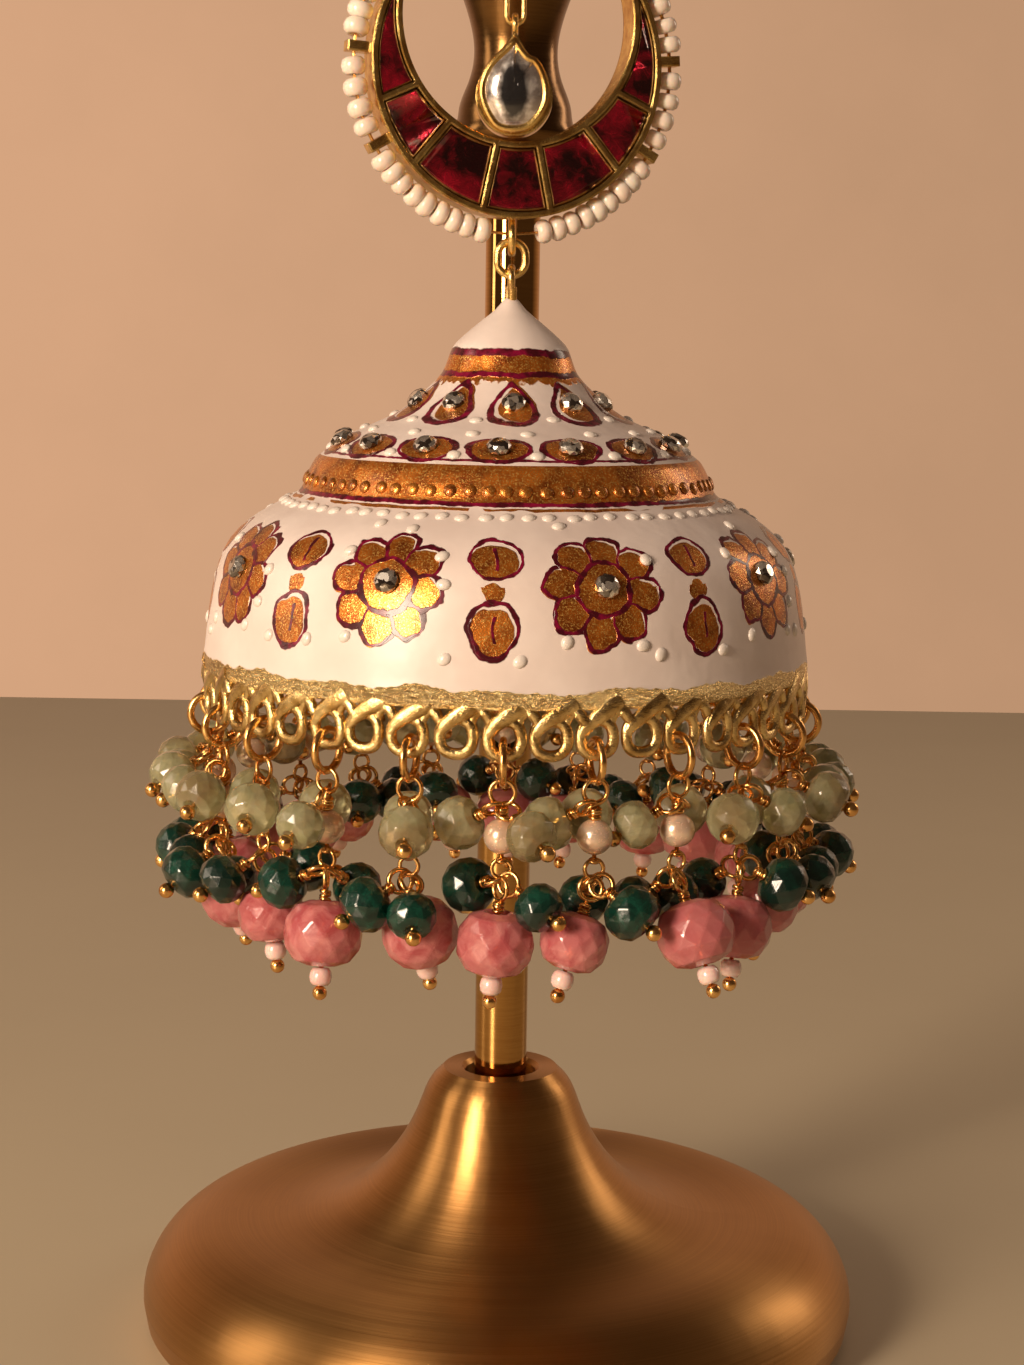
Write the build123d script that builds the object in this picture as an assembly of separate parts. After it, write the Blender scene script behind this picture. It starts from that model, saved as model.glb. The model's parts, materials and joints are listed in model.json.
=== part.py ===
from build123d import *
from math import cos, radians, sin, sqrt
import os

os.makedirs("parts", exist_ok=True)

# ---- where things stand: millimetres, +Z up, the stand's foot centred on the origin
AXIS_Y = -42.0           # the earring hangs this far in front of the pole
RIM_Z = 80.5             # height of the dome's enamel rim above the table

# ---- stand
FOOT_R = 39.5
COLLAR_TOP = RIM_Z - 52.0
COLLAR_R = 6.8
BORE_DEPTH = 16.0
BORE_PLAY = 0.1          # left under the pole, between it and the spool, and above the spool
RECESS_R = 3.95
RECESS_DEPTH = 4.0
POLE_R = 2.9
POLE_FIT = 0.15
POLE_TOP = RIM_Z + 42.6
FINIAL_LOW = POLE_TOP + BORE_PLAY
FINIAL_TOP = RIM_Z + 69.4
ARM_R = 2.2
ARM_LOW = FINIAL_TOP + BORE_PLAY
ARM_BEND_Z = RIM_Z + 76.0
ARM_BEND_R = 18.5
ARM_Y = -2 * ARM_BEND_R  # the crook's front leg
PAD_R = 4.0
PAD_THICK = 2.0
POST_PLAY = 0.2
# the foot's outer side, from its widest line up to the collar: radius and height
BRIM = [(FOOT_R, 3.2), (38.5, 7.1), (36.0, 9.8), (31.5, 11.4), (26.5, 11.7), (22.5, 12.0),
        (18.5, 13.1), (14.5, 15.7), (11.2, 19.6), (9.0, 24.0), (7.7, 27.0),
        (COLLAR_R, COLLAR_TOP - 0.5)]
# the spool: radius, and height above the rim
SPOOL = [(3.1, 44.6), (3.9, 46.6), (5.5, 48.3), (6.3, 49.2), (6.45, 49.9), (6.2, 50.7),
         (5.9, 52.4), (5.0, 54.9), (4.4, 57.9), (4.8, 60.9), (5.6, 63.4), (6.6, 66.0),
         (6.8, 67.0), (6.4, 67.8), (5.2, 68.7)]
SPOOL_LOW_R = POLE_R
SPOOL_TOP_R = 3.2

# ---- crescent
TURN = 17.0              # the crescent faces a little to the viewer's right
OUTER_R = 13.3
OUTER_Z = RIM_Z + 52.2
INNER_R = 10.6
INNER_Z = RIM_Z + 56.2
FAN_Z = RIM_Z + 54.4     # the partitions point at this height on the axis
CRESCENT_THICK = 2.9
CELL_DEPTH = 2.2
CELL_WALL = 0.55
PARTITION = 0.5
STONE_GAP = 0.12
STONE_THICK = 1.9
PARTITION_ANGLES = (-65.5, -40.6, -12.0, 12.0, 40.6, 65.5)
HORN_ANGLE = 49.0        # where the horns close, above the outer circle's middle
RING_WIRE_R = 0.6
BUTTON_R = 4.5
BUTTON_THICK = 1.6
POST_R = 0.45
POST_BACK = 9.5          # how far the post reaches behind the earring
TONGUE_R = 0.9
CLOSING_R = OUTER_R - 0.78    # the closing ring's wire lies inside the tray's outer wall
POST_Z = OUTER_Z + CLOSING_R
DROP_LINE_Y = AXIS_Y - 1.2    # the pear's bail, link and hook hang on this line
HOOK_R = 0.9
HOOK_WIRE_R = 0.3
HOOK_Z = POST_Z - BUTTON_R - 0.35

# ---- seed pearls round the crescent
STRING_R = OUTER_R + 1.3
SEED_R = 1.0
SEED_SQUASH = 0.74
THREAD_R = 0.25
COLLAR_ANGLES = (-30.0, 4.0)
COLLAR_LONG = 2.2
COLLAR_WIDE = 0.9

# ---- pear drop
PEAR_FRONT = -2.2        # from the hanging line, towards the viewer
PEAR_BACK = 0.7
PEAR_LOW = RIM_Z + 46.0
PEAR_BELLY = RIM_Z + 49.5
PEAR_POINT = RIM_Z + 55.0
PEAR_HALF_WIDE = 3.4
PEAR_RIM = 0.5
BAIL_R = 0.75
BAIL_WIRE_R = 0.28
BAIL_Z = RIM_Z + 55.6
PEAR_LINK_WIRE_R = 0.22
LINK_PLAY = 0.15

# ---- links
LINK_WIRE_R = 0.35
EYE_R = 1.4
EYE_Z = RIM_Z + 37.35
LINK_TOP = RIM_Z + 36.95
LINK_BOTTOM = RIM_Z + 33.95
LINK_HALF_WIDE = 1.25
DOME_EYE_R = 1.3
DOME_EYE_TOP = RIM_Z + 34.95
STEM_R = 0.55

# ---- dome: outside of the enamel, radius and height above the rim
WALL = 1.0
HEM = 1.3
BODY = [(27.32, 0.0), (27.2, 1.7), (26.95, 3.8), (26.66, 5.8), (26.09, 8.25),
        (25.17, 10.3), (23.35, 11.98), (21.72, 12.98), (20.4, 13.64), (18.6, 14.9)]
SHOULDER = [(18.6, 14.9), (18.1, 16.2), (17.5, 17.3), (16.73, 17.91)]
SHELF = [(16.73, 17.91), (15.59, 19.07), (13.24, 20.22), (9.37, 22.0),
         (7.47, 23.78), (6.3, 24.89), (5.84, 25.65), (5.39, 27.08)]
TIP = [(5.39, 27.08), (5.1, 27.79), (3.86, 28.88), (2.6, 29.95), (1.29, 30.9), (0.72, 31.78)]

# ---- hem loops
LOOPS = 44
LOOP_RING_R = 26.85
LOOP_R = 1.07
LOOP_WIRE_R = 0.37
LOOP_BOTTOM = -4.96
LOOP_STRAIGHT = 1.3

# ---- drops, heights measured from the rim
DROPS = LOOPS // 2
JUMP_R = 1.75
JUMP_WIRE_R = 0.27
JUMP_Z = -5.47
UPPER_EYE_R = 1.1
UPPER_EYE_Z = -7.95
LOWER_EYE_R = 0.8
LOWER_EYE_Z = -14.3
DROP_WIRE_R = 0.19
PIN_R = 0.2
PEARL_R = 1.5
PEARL_Z = -11.6
GREEN_R = 2.15
GREEN_LONG = 3.5
PINK_R = 3.0
PINK_LONG = 5.2
TIP_SEED_R = 0.95
GREEN_BALL_R = 0.7
PINK_BALL_R = 0.62
GREEN_REACH = 4.2        # from the eye a green charm hangs on to its bead's middle
PINK_REACH = 5.4
BEAD_HOLE = 0.16         # room between a pin and its bead
CLEAR = 0.14             # least room left between two beads

# ---- how each drop's charms lie: degrees round from straight outward, positive to the
#      viewer's right; pink is how far its bead leans the same way, in degrees
#       pale_a pale_b dark_a dark_b pink
CHARMS = [(-105, 40, -115, 55, -3),
          (-125, 125, 170, 75, -14),
          (-120, 105, -110, 150, 0),
          (-100, 70, 55, -140, -8),
          (25, -95, -55, 100, 3),
          (50, -45, 50, -60, 5),
          (-50, 45, -50, 60, 0),
          (45, -55, 20, 95, -5),
          (40, -90, -15, 120, 0),
          (0, -140, -105, 165, -5),
          (15, -160, -75, 12, 14)]
DROP_FALL = [0.0, 0.15, 0.1, 0.45, 0.1, 0.5, 0.25, 0.55, 0.0, 0.3, 0.1]   # extra wrapped length
BEAD_SIZES = [1.0, 0.95, 1.05, 0.91, 1.02]   # the beads are not all one size
SETTLE_ROUNDS = 500
WEIGHTED_ROUNDS = 380    # the rest only push apart what still touches
SAG = 0.004              # how far a charm sinks in a round
GREEN_LEAN = {"pale": 62, "dark": 66}

# ---- joining
RING_SEAM = 37.0         # where a ring's and a rod's seam lie, so that none falls on another's
ROD_SEAM = 23.0
SEAM_TURNS = (0.0, 28.0, 56.0, 97.0)
KEPT_METAL = 0.93        # least share of the pieces' summed volume left once joined
KEPT_THREADED = 0.88     # less where a thread runs inside its beads


def ring(radius, wire, plane, seam=0.0):
    return plane * Rot(0, 0, RING_SEAM + seam) * Torus(radius, wire)


def rod(start, end, radius, seam=0.0):
    way = Vector(*end) - Vector(*start)
    return Plane(origin=start, z_dir=way) * Rot(0, 0, ROD_SEAM + seam) * Cylinder(
        radius, way.length, align=(Align.CENTER, Align.CENTER, Align.MIN))


def oval(x, y, low, high, half, wire):
    """A link with round ends and straight sides, standing across the line of sight."""
    up, down = high - half, low + half
    right, left = x + half, x - half
    route = Wire([Line((right, y, down), (right, y, up)),
                  ThreePointArc((right, y, up), (x, y, high), (left, y, up)),
                  Line((left, y, up), (left, y, down)),
                  ThreePointArc((left, y, down), (x, y, low), (right, y, down))])
    return sweep(Plane(origin=(right, y, down), z_dir=(0, 0, 1)) * Circle(wire), path=route)


def turned(points):
    """A solid turned from its radius-height outline, which starts and ends on the axis."""
    return revolve(Plane.XZ * make_face(Polyline(*points, close=True)), Axis.Z)


def solids_of(shape):
    return list(shape.solids())


def volume_of(solids):
    return sum(solid.volume for solid in solids)


def joined(pieces, least=KEPT_METAL):
    """One solid from pieces that touch, none of their material lost.

    Pieces overlap only a little where they meet, so the whole keeps nearly all of their
    volume. When joining them at once loses some or leaves one apart, they are joined one
    after another."""
    solids = [solid for piece in pieces for solid in solids_of(piece)]
    if len(solids) == 1:
        return solids[0]
    wanted = least * volume_of(solids)
    found = solids_of(solids[0].fuse(*solids[1:]))
    if volume_of(found) < wanted or len(found) > 1:
        whole = solids[0]
        for solid in solids[1:]:
            whole = Compound(solids_of(whole.fuse(solid)))
        found = solids_of(whole)
    if volume_of(found) < wanted:
        raise ValueError("joining lost material: %.2f of %.2f" % (volume_of(found), volume_of(solids)))
    return found[0] if len(found) == 1 else Compound(found)


def save(shape, name, expected=1):
    count = len(solids_of(shape))
    if count != expected:
        raise ValueError("%s has %d solids, expected %d" % (name, count, expected))
    shape.label = name
    export_step(shape, "parts/" + name + ".step")


# ---------------------------------------------------------------- stand
def turned_face(edges):
    return revolve(Plane.XZ * make_face(Curve() + edges), Axis.Z)


def stand_base():
    """Solid turned brass: a wide foot with a domed brim that sweeps up to a small collar."""
    top = COLLAR_TOP
    bore = POLE_R + POLE_FIT
    floor_of_bore = top - BORE_DEPTH
    under = Polyline((0, floor_of_bore), (0, 0), (FOOT_R - 1.5, 0), (FOOT_R - 0.4, 1.0), BRIM[0])
    side = Spline(*BRIM)
    over = Polyline(BRIM[-1], (COLLAR_R - 0.5, top), (RECESS_R + 0.4, top), (RECESS_R, top - 0.5),
                    (RECESS_R, top - RECESS_DEPTH), (bore, top - RECESS_DEPTH),
                    (bore, floor_of_bore), (0, floor_of_bore))
    return turned_face([under, side, over])


def stand_pole():
    bottom = COLLAR_TOP - BORE_DEPTH + BORE_PLAY
    return Pos(0, 0, bottom) * Cylinder(POLE_R, POLE_TOP - bottom,
                                        align=(Align.CENTER, Align.CENTER, Align.MIN))


def stand_finial():
    """The hourglass spool on the pole's top."""
    low = (SPOOL_LOW_R, FINIAL_LOW)
    high = (SPOOL_TOP_R, FINIAL_TOP)
    side = Spline(low, *[(r, RIM_Z + z) for r, z in SPOOL], high)
    core = Polyline(high, (0, FINIAL_TOP), (0, FINIAL_LOW), low)
    return turned_face([side, core])


def stand_arm():
    """A crook that reaches forward over the earring and ends in a drilled pad."""
    bend = (0, -ARM_BEND_R, ARM_BEND_Z + ARM_BEND_R)
    up = Line((0, 0, ARM_LOW), (0, 0, ARM_BEND_Z))
    over = ThreePointArc((0, 0, ARM_BEND_Z), bend, (0, ARM_Y, ARM_BEND_Z))
    down = Line((0, ARM_Y, ARM_BEND_Z), (0, ARM_Y, POST_Z + 1.5))
    bar = sweep(Plane(origin=(0, 0, ARM_LOW), z_dir=(0, 0, 1)) * Circle(ARM_R), path=Wire([up, over, down]))
    facing = Plane(origin=(0, ARM_Y, POST_Z), z_dir=(0, -1, 0))
    pad = facing * Cylinder(PAD_R, PAD_THICK)
    hole = facing * Cylinder(POST_R + POST_PLAY, 6 * PAD_THICK)
    return joined([joined([bar, pad]) - hole])


# ---------------------------------------------------------------- crescent
def at_crescent(shape):
    """From the crescent's own plane to its place, turned a little about the hanging line."""
    return Pos(0, AXIS_Y, 0) * (Rot(0, 0, TURN) * shape)


def moon(grow_in, grow_out, front, back):
    outer = Plane.XZ * (Pos(0, OUTER_Z) * Circle(OUTER_R - grow_out))
    inner = Plane.XZ * (Pos(0, INNER_Z) * Circle(INNER_R + grow_in))
    body = extrude(outer, amount=back - front, dir=(0, 1, 0)) - extrude(
        inner, amount=back - front, dir=(0, 1, 0))
    return Pos(0, front, 0) * body


def wedge(left, right, side):
    """The slice between two partition lines, drawn in by side; angles from straight down."""
    def edge(angle, shift):
        a = radians(angle)
        step = (shift * cos(a), shift * sin(a))
        near = (step[0], FAN_Z + step[1])
        far = (step[0] + 40 * sin(a), FAN_Z + step[1] - 40 * cos(a))
        return near, far
    near_l, far_l = edge(left, side)
    near_r, far_r = edge(right, -side)
    middle = radians((left + right) / 2)
    tip = (45 * sin(middle), FAN_Z - 45 * cos(middle))
    face = make_face(Polyline(near_l, far_l, tip, far_r, near_r, close=True))
    return Pos(0, -5, 0) * extrude(Plane.XZ * face, amount=10, dir=(0, 1, 0))


def cells(gap, front, back):
    edges = (-112.0,) + PARTITION_ANGLES + (112.0,)
    pocket = moon(CELL_WALL + gap, CELL_WALL + gap, front, back)
    made = []
    for left, right in zip(edges[:-1], edges[1:]):
        piece = pocket & wedge(left, right, PARTITION / 2 + gap)
        made.append(max(solids_of(piece), key=lambda s: s.volume))
    return made


def crescent_frame():
    """Gold tray with seven cells, the ring that closes it, its button and post, soldered."""
    half = CRESCENT_THICK / 2
    tray = moon(0, 0, -half, half)
    tray = max(solids_of(tray), key=lambda s: s.volume)
    for pocket in cells(0, -half - 0.1, -half + CELL_DEPTH):
        tray = tray - pocket
    parts = [tray]
    closing = Plane(origin=(0, 0, OUTER_Z), x_dir=(1, 0, 0), z_dir=(0, -1, 0)) * Torus(
        CLOSING_R, RING_WIRE_R)
    cap = Pos(0, 0, OUTER_Z + 15.0) * Box(60, 8, 2 * (15.0 - CLOSING_R * sin(radians(HORN_ANGLE - 3))))
    parts.append(joined([closing & cap]))
    for angle in COLLAR_ANGLES:
        for flip in (1, -1):
            reach = OUTER_R + COLLAR_LONG / 2 - 0.2
            place = Pos(flip * reach * cos(radians(angle)), 0, OUTER_Z + reach * sin(radians(angle)))
            parts.append(place * Rot(0, -flip * angle, 0) * Box(COLLAR_LONG, 1.6, COLLAR_WIDE))
    frame = at_crescent(joined(parts))
    button = Plane(origin=(0, AXIS_Y - 0.7, POST_Z + 0.4), z_dir=(0, -1, 0)) * Cylinder(
        BUTTON_R, BUTTON_THICK, align=(Align.CENTER, Align.CENTER, Align.MIN))
    post = rod((0, DROP_LINE_Y, POST_Z), (0, AXIS_Y + POST_BACK, POST_Z), POST_R)
    tongue = rod((0, DROP_LINE_Y, POST_Z), (0, AXIS_Y + 0.3, POST_Z), TONGUE_R)
    hook = ring(HOOK_R, HOOK_WIRE_R, Plane(origin=(0, DROP_LINE_Y, HOOK_Z), z_dir=(1, 0, 0)))
    eye = ring(EYE_R, LINK_WIRE_R, Plane(origin=(0, AXIS_Y, EYE_Z), z_dir=(1, 0, 0)))
    return joined([frame, button, post, tongue, hook, eye])


def pearl_string(first, last, count, flip):
    """Seed pearls on their thread, from one angle to another round the outer circle."""
    pieces = []
    step = (last - first) / count
    spots = []
    for k in range(count):
        a = radians(first + (k + 0.5) * step)
        spots.append((flip * STRING_R * cos(a), OUTER_Z + STRING_R * sin(a), a))
    width = STRING_R * radians(abs(step))
    for x, z, a in spots:
        along = (-flip * sin(a), 0, cos(a))
        seat = Plane(origin=(x, 0, z), z_dir=along)
        half = min(SEED_R * SEED_SQUASH, width / 2 + 0.03)
        row = [(0, -half), (0.62 * SEED_R, -half), (SEED_R, -0.35 * half),
               (SEED_R, 0.35 * half), (0.62 * SEED_R, half), (0, half)]
        pieces.append(seat * turned(row))
    for (x0, z0, a0), (x1, z1, a1) in zip(spots[:-1], spots[1:]):
        pieces.append(rod((x0, 0, z0), (x1, 0, z1), THREAD_R))
    return at_crescent(joined(pieces, KEPT_THREADED))


# ---------------------------------------------------------------- pear drop
def pear_outline(grow):
    """A pear in the crescent's plane: a round belly drawn up to a point."""
    wide = PEAR_HALF_WIDE + grow
    point = PEAR_POINT + 1.3 * grow
    low = PEAR_LOW - 0.9 * grow
    hip = (0.72 * wide, low + 1.0)
    waist = (0.62 * wide, PEAR_BELLY + 2.9)
    right = Spline((0, low), hip, (wide, PEAR_BELLY), waist, (0, point), tangents=[(1, 0), (-0.55, 1)])
    left = Spline((0, point), (-waist[0], waist[1]), (-wide, PEAR_BELLY), (-hip[0], hip[1]), (0, low),
                  tangents=[(-0.55, -1), (1, 0)])
    return Plane.XZ * make_face(Curve() + [right, left])


def pear_layer(grow, front, back):
    return Pos(0, AXIS_Y + front, 0) * extrude(pear_outline(grow), amount=back - front, dir=(0, 1, 0))


def pear_bezel():
    outer = pear_layer(0, PEAR_FRONT, PEAR_BACK)
    pocket = pear_layer(-PEAR_RIM, PEAR_FRONT - 0.1, 0)
    bail = ring(BAIL_R, BAIL_WIRE_R, Plane(origin=(0, DROP_LINE_Y, BAIL_Z), z_dir=(1, 0, 0)))
    return joined([outer - pocket, bail])


def pear_stone():
    return pear_layer(-PEAR_RIM - STONE_GAP, PEAR_FRONT - 0.35, -STONE_GAP)


def pear_link():
    """Oval link between the bail and the hook under the button."""
    play = LINK_PLAY + PEAR_LINK_WIRE_R
    low = BAIL_Z + BAIL_R - BAIL_WIRE_R - play
    high = HOOK_Z - HOOK_R + HOOK_WIRE_R + play
    return oval(0, DROP_LINE_Y, low, high, BAIL_R, PEAR_LINK_WIRE_R)


def link_ring():
    return oval(0, AXIS_Y, LINK_BOTTOM, LINK_TOP, LINK_HALF_WIDE, LINK_WIRE_R)


# ---------------------------------------------------------------- dome
def inset(points, depth):
    made = []
    for i, (r, z) in enumerate(points):
        r0, z0 = points[max(i - 1, 0)]
        r1, z1 = points[min(i + 1, len(points) - 1)]
        dr, dz = r1 - r0, z1 - z0
        size = sqrt(dr * dr + dz * dz)
        made.append((r - depth * dz / size, z + depth * dr / size))
    return made


def dome_shell():
    outside = BODY + SHOULDER[1:] + SHELF[1:] + TIP[1:]
    inside = [p for p in inset(BODY + SHOULDER[1:] + SHELF[1:], WALL) if p[0] > 2.0]
    inside = [(outside[0][0] - WALL, -HEM)] + inside[1:]
    line = [(outside[0][0], -HEM)] + outside + [(0, 31.78), (0, 28.2)]
    line += [(3.0, 27.2)] + inside[::-1]
    return turned([(r, RIM_Z + z) for r, z in line])


def hem_loop():
    """One wire loop under the rim, facing -Y, at the front of the dome."""
    low = RIM_Z + LOOP_BOTTOM + LOOP_WIRE_R
    high = low + 2 * LOOP_R + LOOP_STRAIGHT
    return oval(0, -LOOP_RING_R, low, high, LOOP_R, LOOP_WIRE_R)


def dome():
    shell = dome_shell()
    loop = hem_loop()
    loops = [Rot(0, 0, k * 360 / LOOPS) * loop for k in range(LOOPS)]
    eye = ring(DOME_EYE_R, LINK_WIRE_R,
               Plane(origin=(0, 0, DOME_EYE_TOP - DOME_EYE_R), z_dir=(1, 0, 0)))
    stem = rod((0, 0, RIM_Z + 30.6), (0, 0, RIM_Z + 32.5), STEM_R)
    return Pos(0, AXIS_Y, 0) * joined([shell, stem, eye] + loops)


# ---------------------------------------------------------------- drops
def bead(radius, length, bore, at, way):
    half = length / 2
    row = [(bore, -half), (0.56 * radius, -half), (radius, -0.3 * half),
           (radius, 0.3 * half), (0.56 * radius, half), (bore, half)]
    return Plane(origin=at, z_dir=way) * turned(row)


def charm_kind(name, size):
    """Distances along a charm's pin, and radii, of what has to keep clear."""
    if name == "pink":
        seed = PINK_REACH + size * PINK_LONG / 2 + TIP_SEED_R * 0.8 + 0.1
        ball = seed + TIP_SEED_R * 0.8 + PINK_BALL_R
        return [(PINK_REACH, size * PINK_R + 0.08), (seed, TIP_SEED_R), (ball, PINK_BALL_R)]
    ball = GREEN_REACH + size * GREEN_LONG / 2 + GREEN_BALL_R
    return [(GREEN_REACH, size * GREEN_R + 0.08), (ball, GREEN_BALL_R)]


def drop_angle(k):
    return radians(k * 360 / DROPS)


def local_way(k, round_angle, lean):
    """Unit direction: lean degrees up from straight down, round_angle from outward."""
    face = drop_angle(k)
    out = (sin(face), -cos(face))
    right = (cos(face), sin(face))
    a, b = radians(round_angle), radians(lean)
    return [sin(b) * (cos(a) * out[0] + sin(a) * right[0]),
            sin(b) * (cos(a) * out[1] + sin(a) * right[1]), -cos(b)]


def drop_spot(k, z):
    face = drop_angle(k)
    return (LOOP_RING_R * sin(face), -LOOP_RING_R * cos(face), z)


def low_spot(k, z):
    """A place below the upper eye, where the wrapped wires differ in length."""
    return drop_spot(k, z - DROP_FALL[k % len(DROP_FALL)])


def unit(v):
    size = sqrt(v[0] ** 2 + v[1] ** 2 + v[2] ** 2)
    return [c / size for c in v]


def settled_charms():
    """Lets the charms swing on their eyes until no bead is in another's way."""
    charms = []
    still = []
    for k in range(DROPS):
        pale_a, pale_b, dark_a, dark_b, pink = CHARMS[k % len(CHARMS)]
        upper = drop_spot(k, UPPER_EYE_Z - UPPER_EYE_R)
        lower = low_spot(k, LOWER_EYE_Z - LOWER_EYE_R)
        rows = [("pale", upper, turn, GREEN_LEAN["pale"]) for turn in (pale_a, pale_b)]
        rows += [("dark", lower, turn, GREEN_LEAN["dark"]) for turn in (dark_a, dark_b)]
        rows.append(("pink", lower, 90 if pink > 0 else -90, abs(pink)))
        for kind, eye, turn, lean in rows:
            size = BEAD_SIZES[len(charms) % len(BEAD_SIZES) - k % 3]
            charms.append({"drop": k, "kind": kind, "eye": eye, "size": size,
                           "way": local_way(k, turn, lean), "balls": charm_kind(kind, size)})
        still.append((k, low_spot(k, PEARL_Z), PEARL_R))
        still.append((k, drop_spot(k, UPPER_EYE_Z - UPPER_EYE_R - 0.5), 0.5))
        still.append((k, drop_spot(k, JUMP_Z), JUMP_R + JUMP_WIRE_R))
    near = []
    for i, a in enumerate(charms):
        for j in range(i + 1, len(charms)):
            apart = abs(a["drop"] - charms[j]["drop"])
            if min(apart, DROPS - apart) <= 2:
                near.append((i, j))
    for count in range(SETTLE_ROUNDS):
        for charm in charms:
            charm["way"][2] -= SAG if count < WEIGHTED_ROUNDS else 0.0
            charm["way"] = unit(charm["way"])
        for i, j in near:
            push_apart(charms[i], charms[j])
        for charm in charms:
            for k, spot, radius in still:
                apart = abs(charm["drop"] - k)
                if min(apart, DROPS - apart) <= 1:
                    push_from(charm, spot, radius)
    return charms


def spot_on(charm, along):
    return [charm["eye"][c] + along * charm["way"][c] for c in range(3)]


def push_apart(one, two):
    for along_1, radius_1 in one["balls"]:
        for along_2, radius_2 in two["balls"]:
            p, q = spot_on(one, along_1), spot_on(two, along_2)
            gap = [p[c] - q[c] for c in range(3)]
            size = sqrt(sum(c * c for c in gap)) or 1e-6
            short = radius_1 + radius_2 + CLEAR - size
            if short > 0:
                for c in range(3):
                    shove = 0.5 * short * gap[c] / size
                    one["way"][c] += shove / along_1
                    two["way"][c] -= shove / along_2
                one["way"], two["way"] = unit(one["way"]), unit(two["way"])


def push_from(charm, spot, radius):
    for along, own in charm["balls"]:
        p = spot_on(charm, along)
        gap = [p[c] - spot[c] for c in range(3)]
        size = sqrt(sum(c * c for c in gap)) or 1e-6
        short = radius + own + CLEAR - size
        if short > 0:
            for c in range(3):
                charm["way"][c] += short * gap[c] / size / along
            charm["way"] = unit(charm["way"])


def worst_overlap(charms):
    worst = 0.0
    for i, one in enumerate(charms):
        for two in charms[i + 1:]:
            for along_1, radius_1 in one["balls"]:
                for along_2, radius_2 in two["balls"]:
                    p, q = spot_on(one, along_1), spot_on(two, along_2)
                    size = sqrt(sum((p[c] - q[c]) ** 2 for c in range(3)))
                    worst = max(worst, radius_1 + radius_2 - size)
    return worst


def placed(spot):
    return (spot[0], spot[1] + AXIS_Y, spot[2] + RIM_Z)


def along(charm, distance):
    return placed(spot_on(charm, distance))


def drop_wire_pieces(k, charms, seam):
    """A drop's metal: jump ring, eyes, wrapped wire through the pearl, and five pins."""
    face = drop_angle(k)
    out = (sin(face), -cos(face), 0)
    side = (cos(face), sin(face), 0)
    upper = UPPER_EYE_Z - UPPER_EYE_R
    lower = LOWER_EYE_Z + LOWER_EYE_R
    foot = LOWER_EYE_Z - LOWER_EYE_R

    def at(z):
        return placed(drop_spot(k, z))

    def below(z):
        return placed(low_spot(k, z))

    parts = [ring(JUMP_R, JUMP_WIRE_R, Plane(origin=at(JUMP_Z), z_dir=side), seam),
             ring(UPPER_EYE_R, DROP_WIRE_R, Plane(origin=at(UPPER_EYE_Z), z_dir=out), seam),
             ring(LOWER_EYE_R, DROP_WIRE_R, Plane(origin=below(LOWER_EYE_Z), z_dir=out), seam),
             rod(at(upper + 0.1), below(lower - 0.1), DROP_WIRE_R, seam),
             rod(at(upper), below(PEARL_Z + PEARL_R + 0.12), 0.42, 2 * seam),
             Pos(*at(upper)) * Sphere(0.36), Pos(*below(foot)) * Sphere(0.36)]
    for charm in charms:
        last, size = charm["balls"][-1]
        parts.append(rod(placed(charm["eye"]), along(charm, last), PIN_R, seam))
        parts.append(Pos(*along(charm, last)) * Sphere(size))
    return parts


def drop_wire(k, charms):
    """The drop's metal as one solid; a seam that falls badly is turned and tried again."""
    for seam in SEAM_TURNS:
        try:
            whole = joined(drop_wire_pieces(k, charms, seam))
        except ValueError:
            continue
        if len(solids_of(whole)) == 1:
            return whole
    raise ValueError("drop %d does not join whole" % k)


def pearl(k):
    hole = DROP_WIRE_R + BEAD_HOLE
    centre = Pos(*placed(low_spot(k, PEARL_Z)))
    return centre * (Sphere(PEARL_R) - Cylinder(hole, 4 * PEARL_R))


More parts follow.
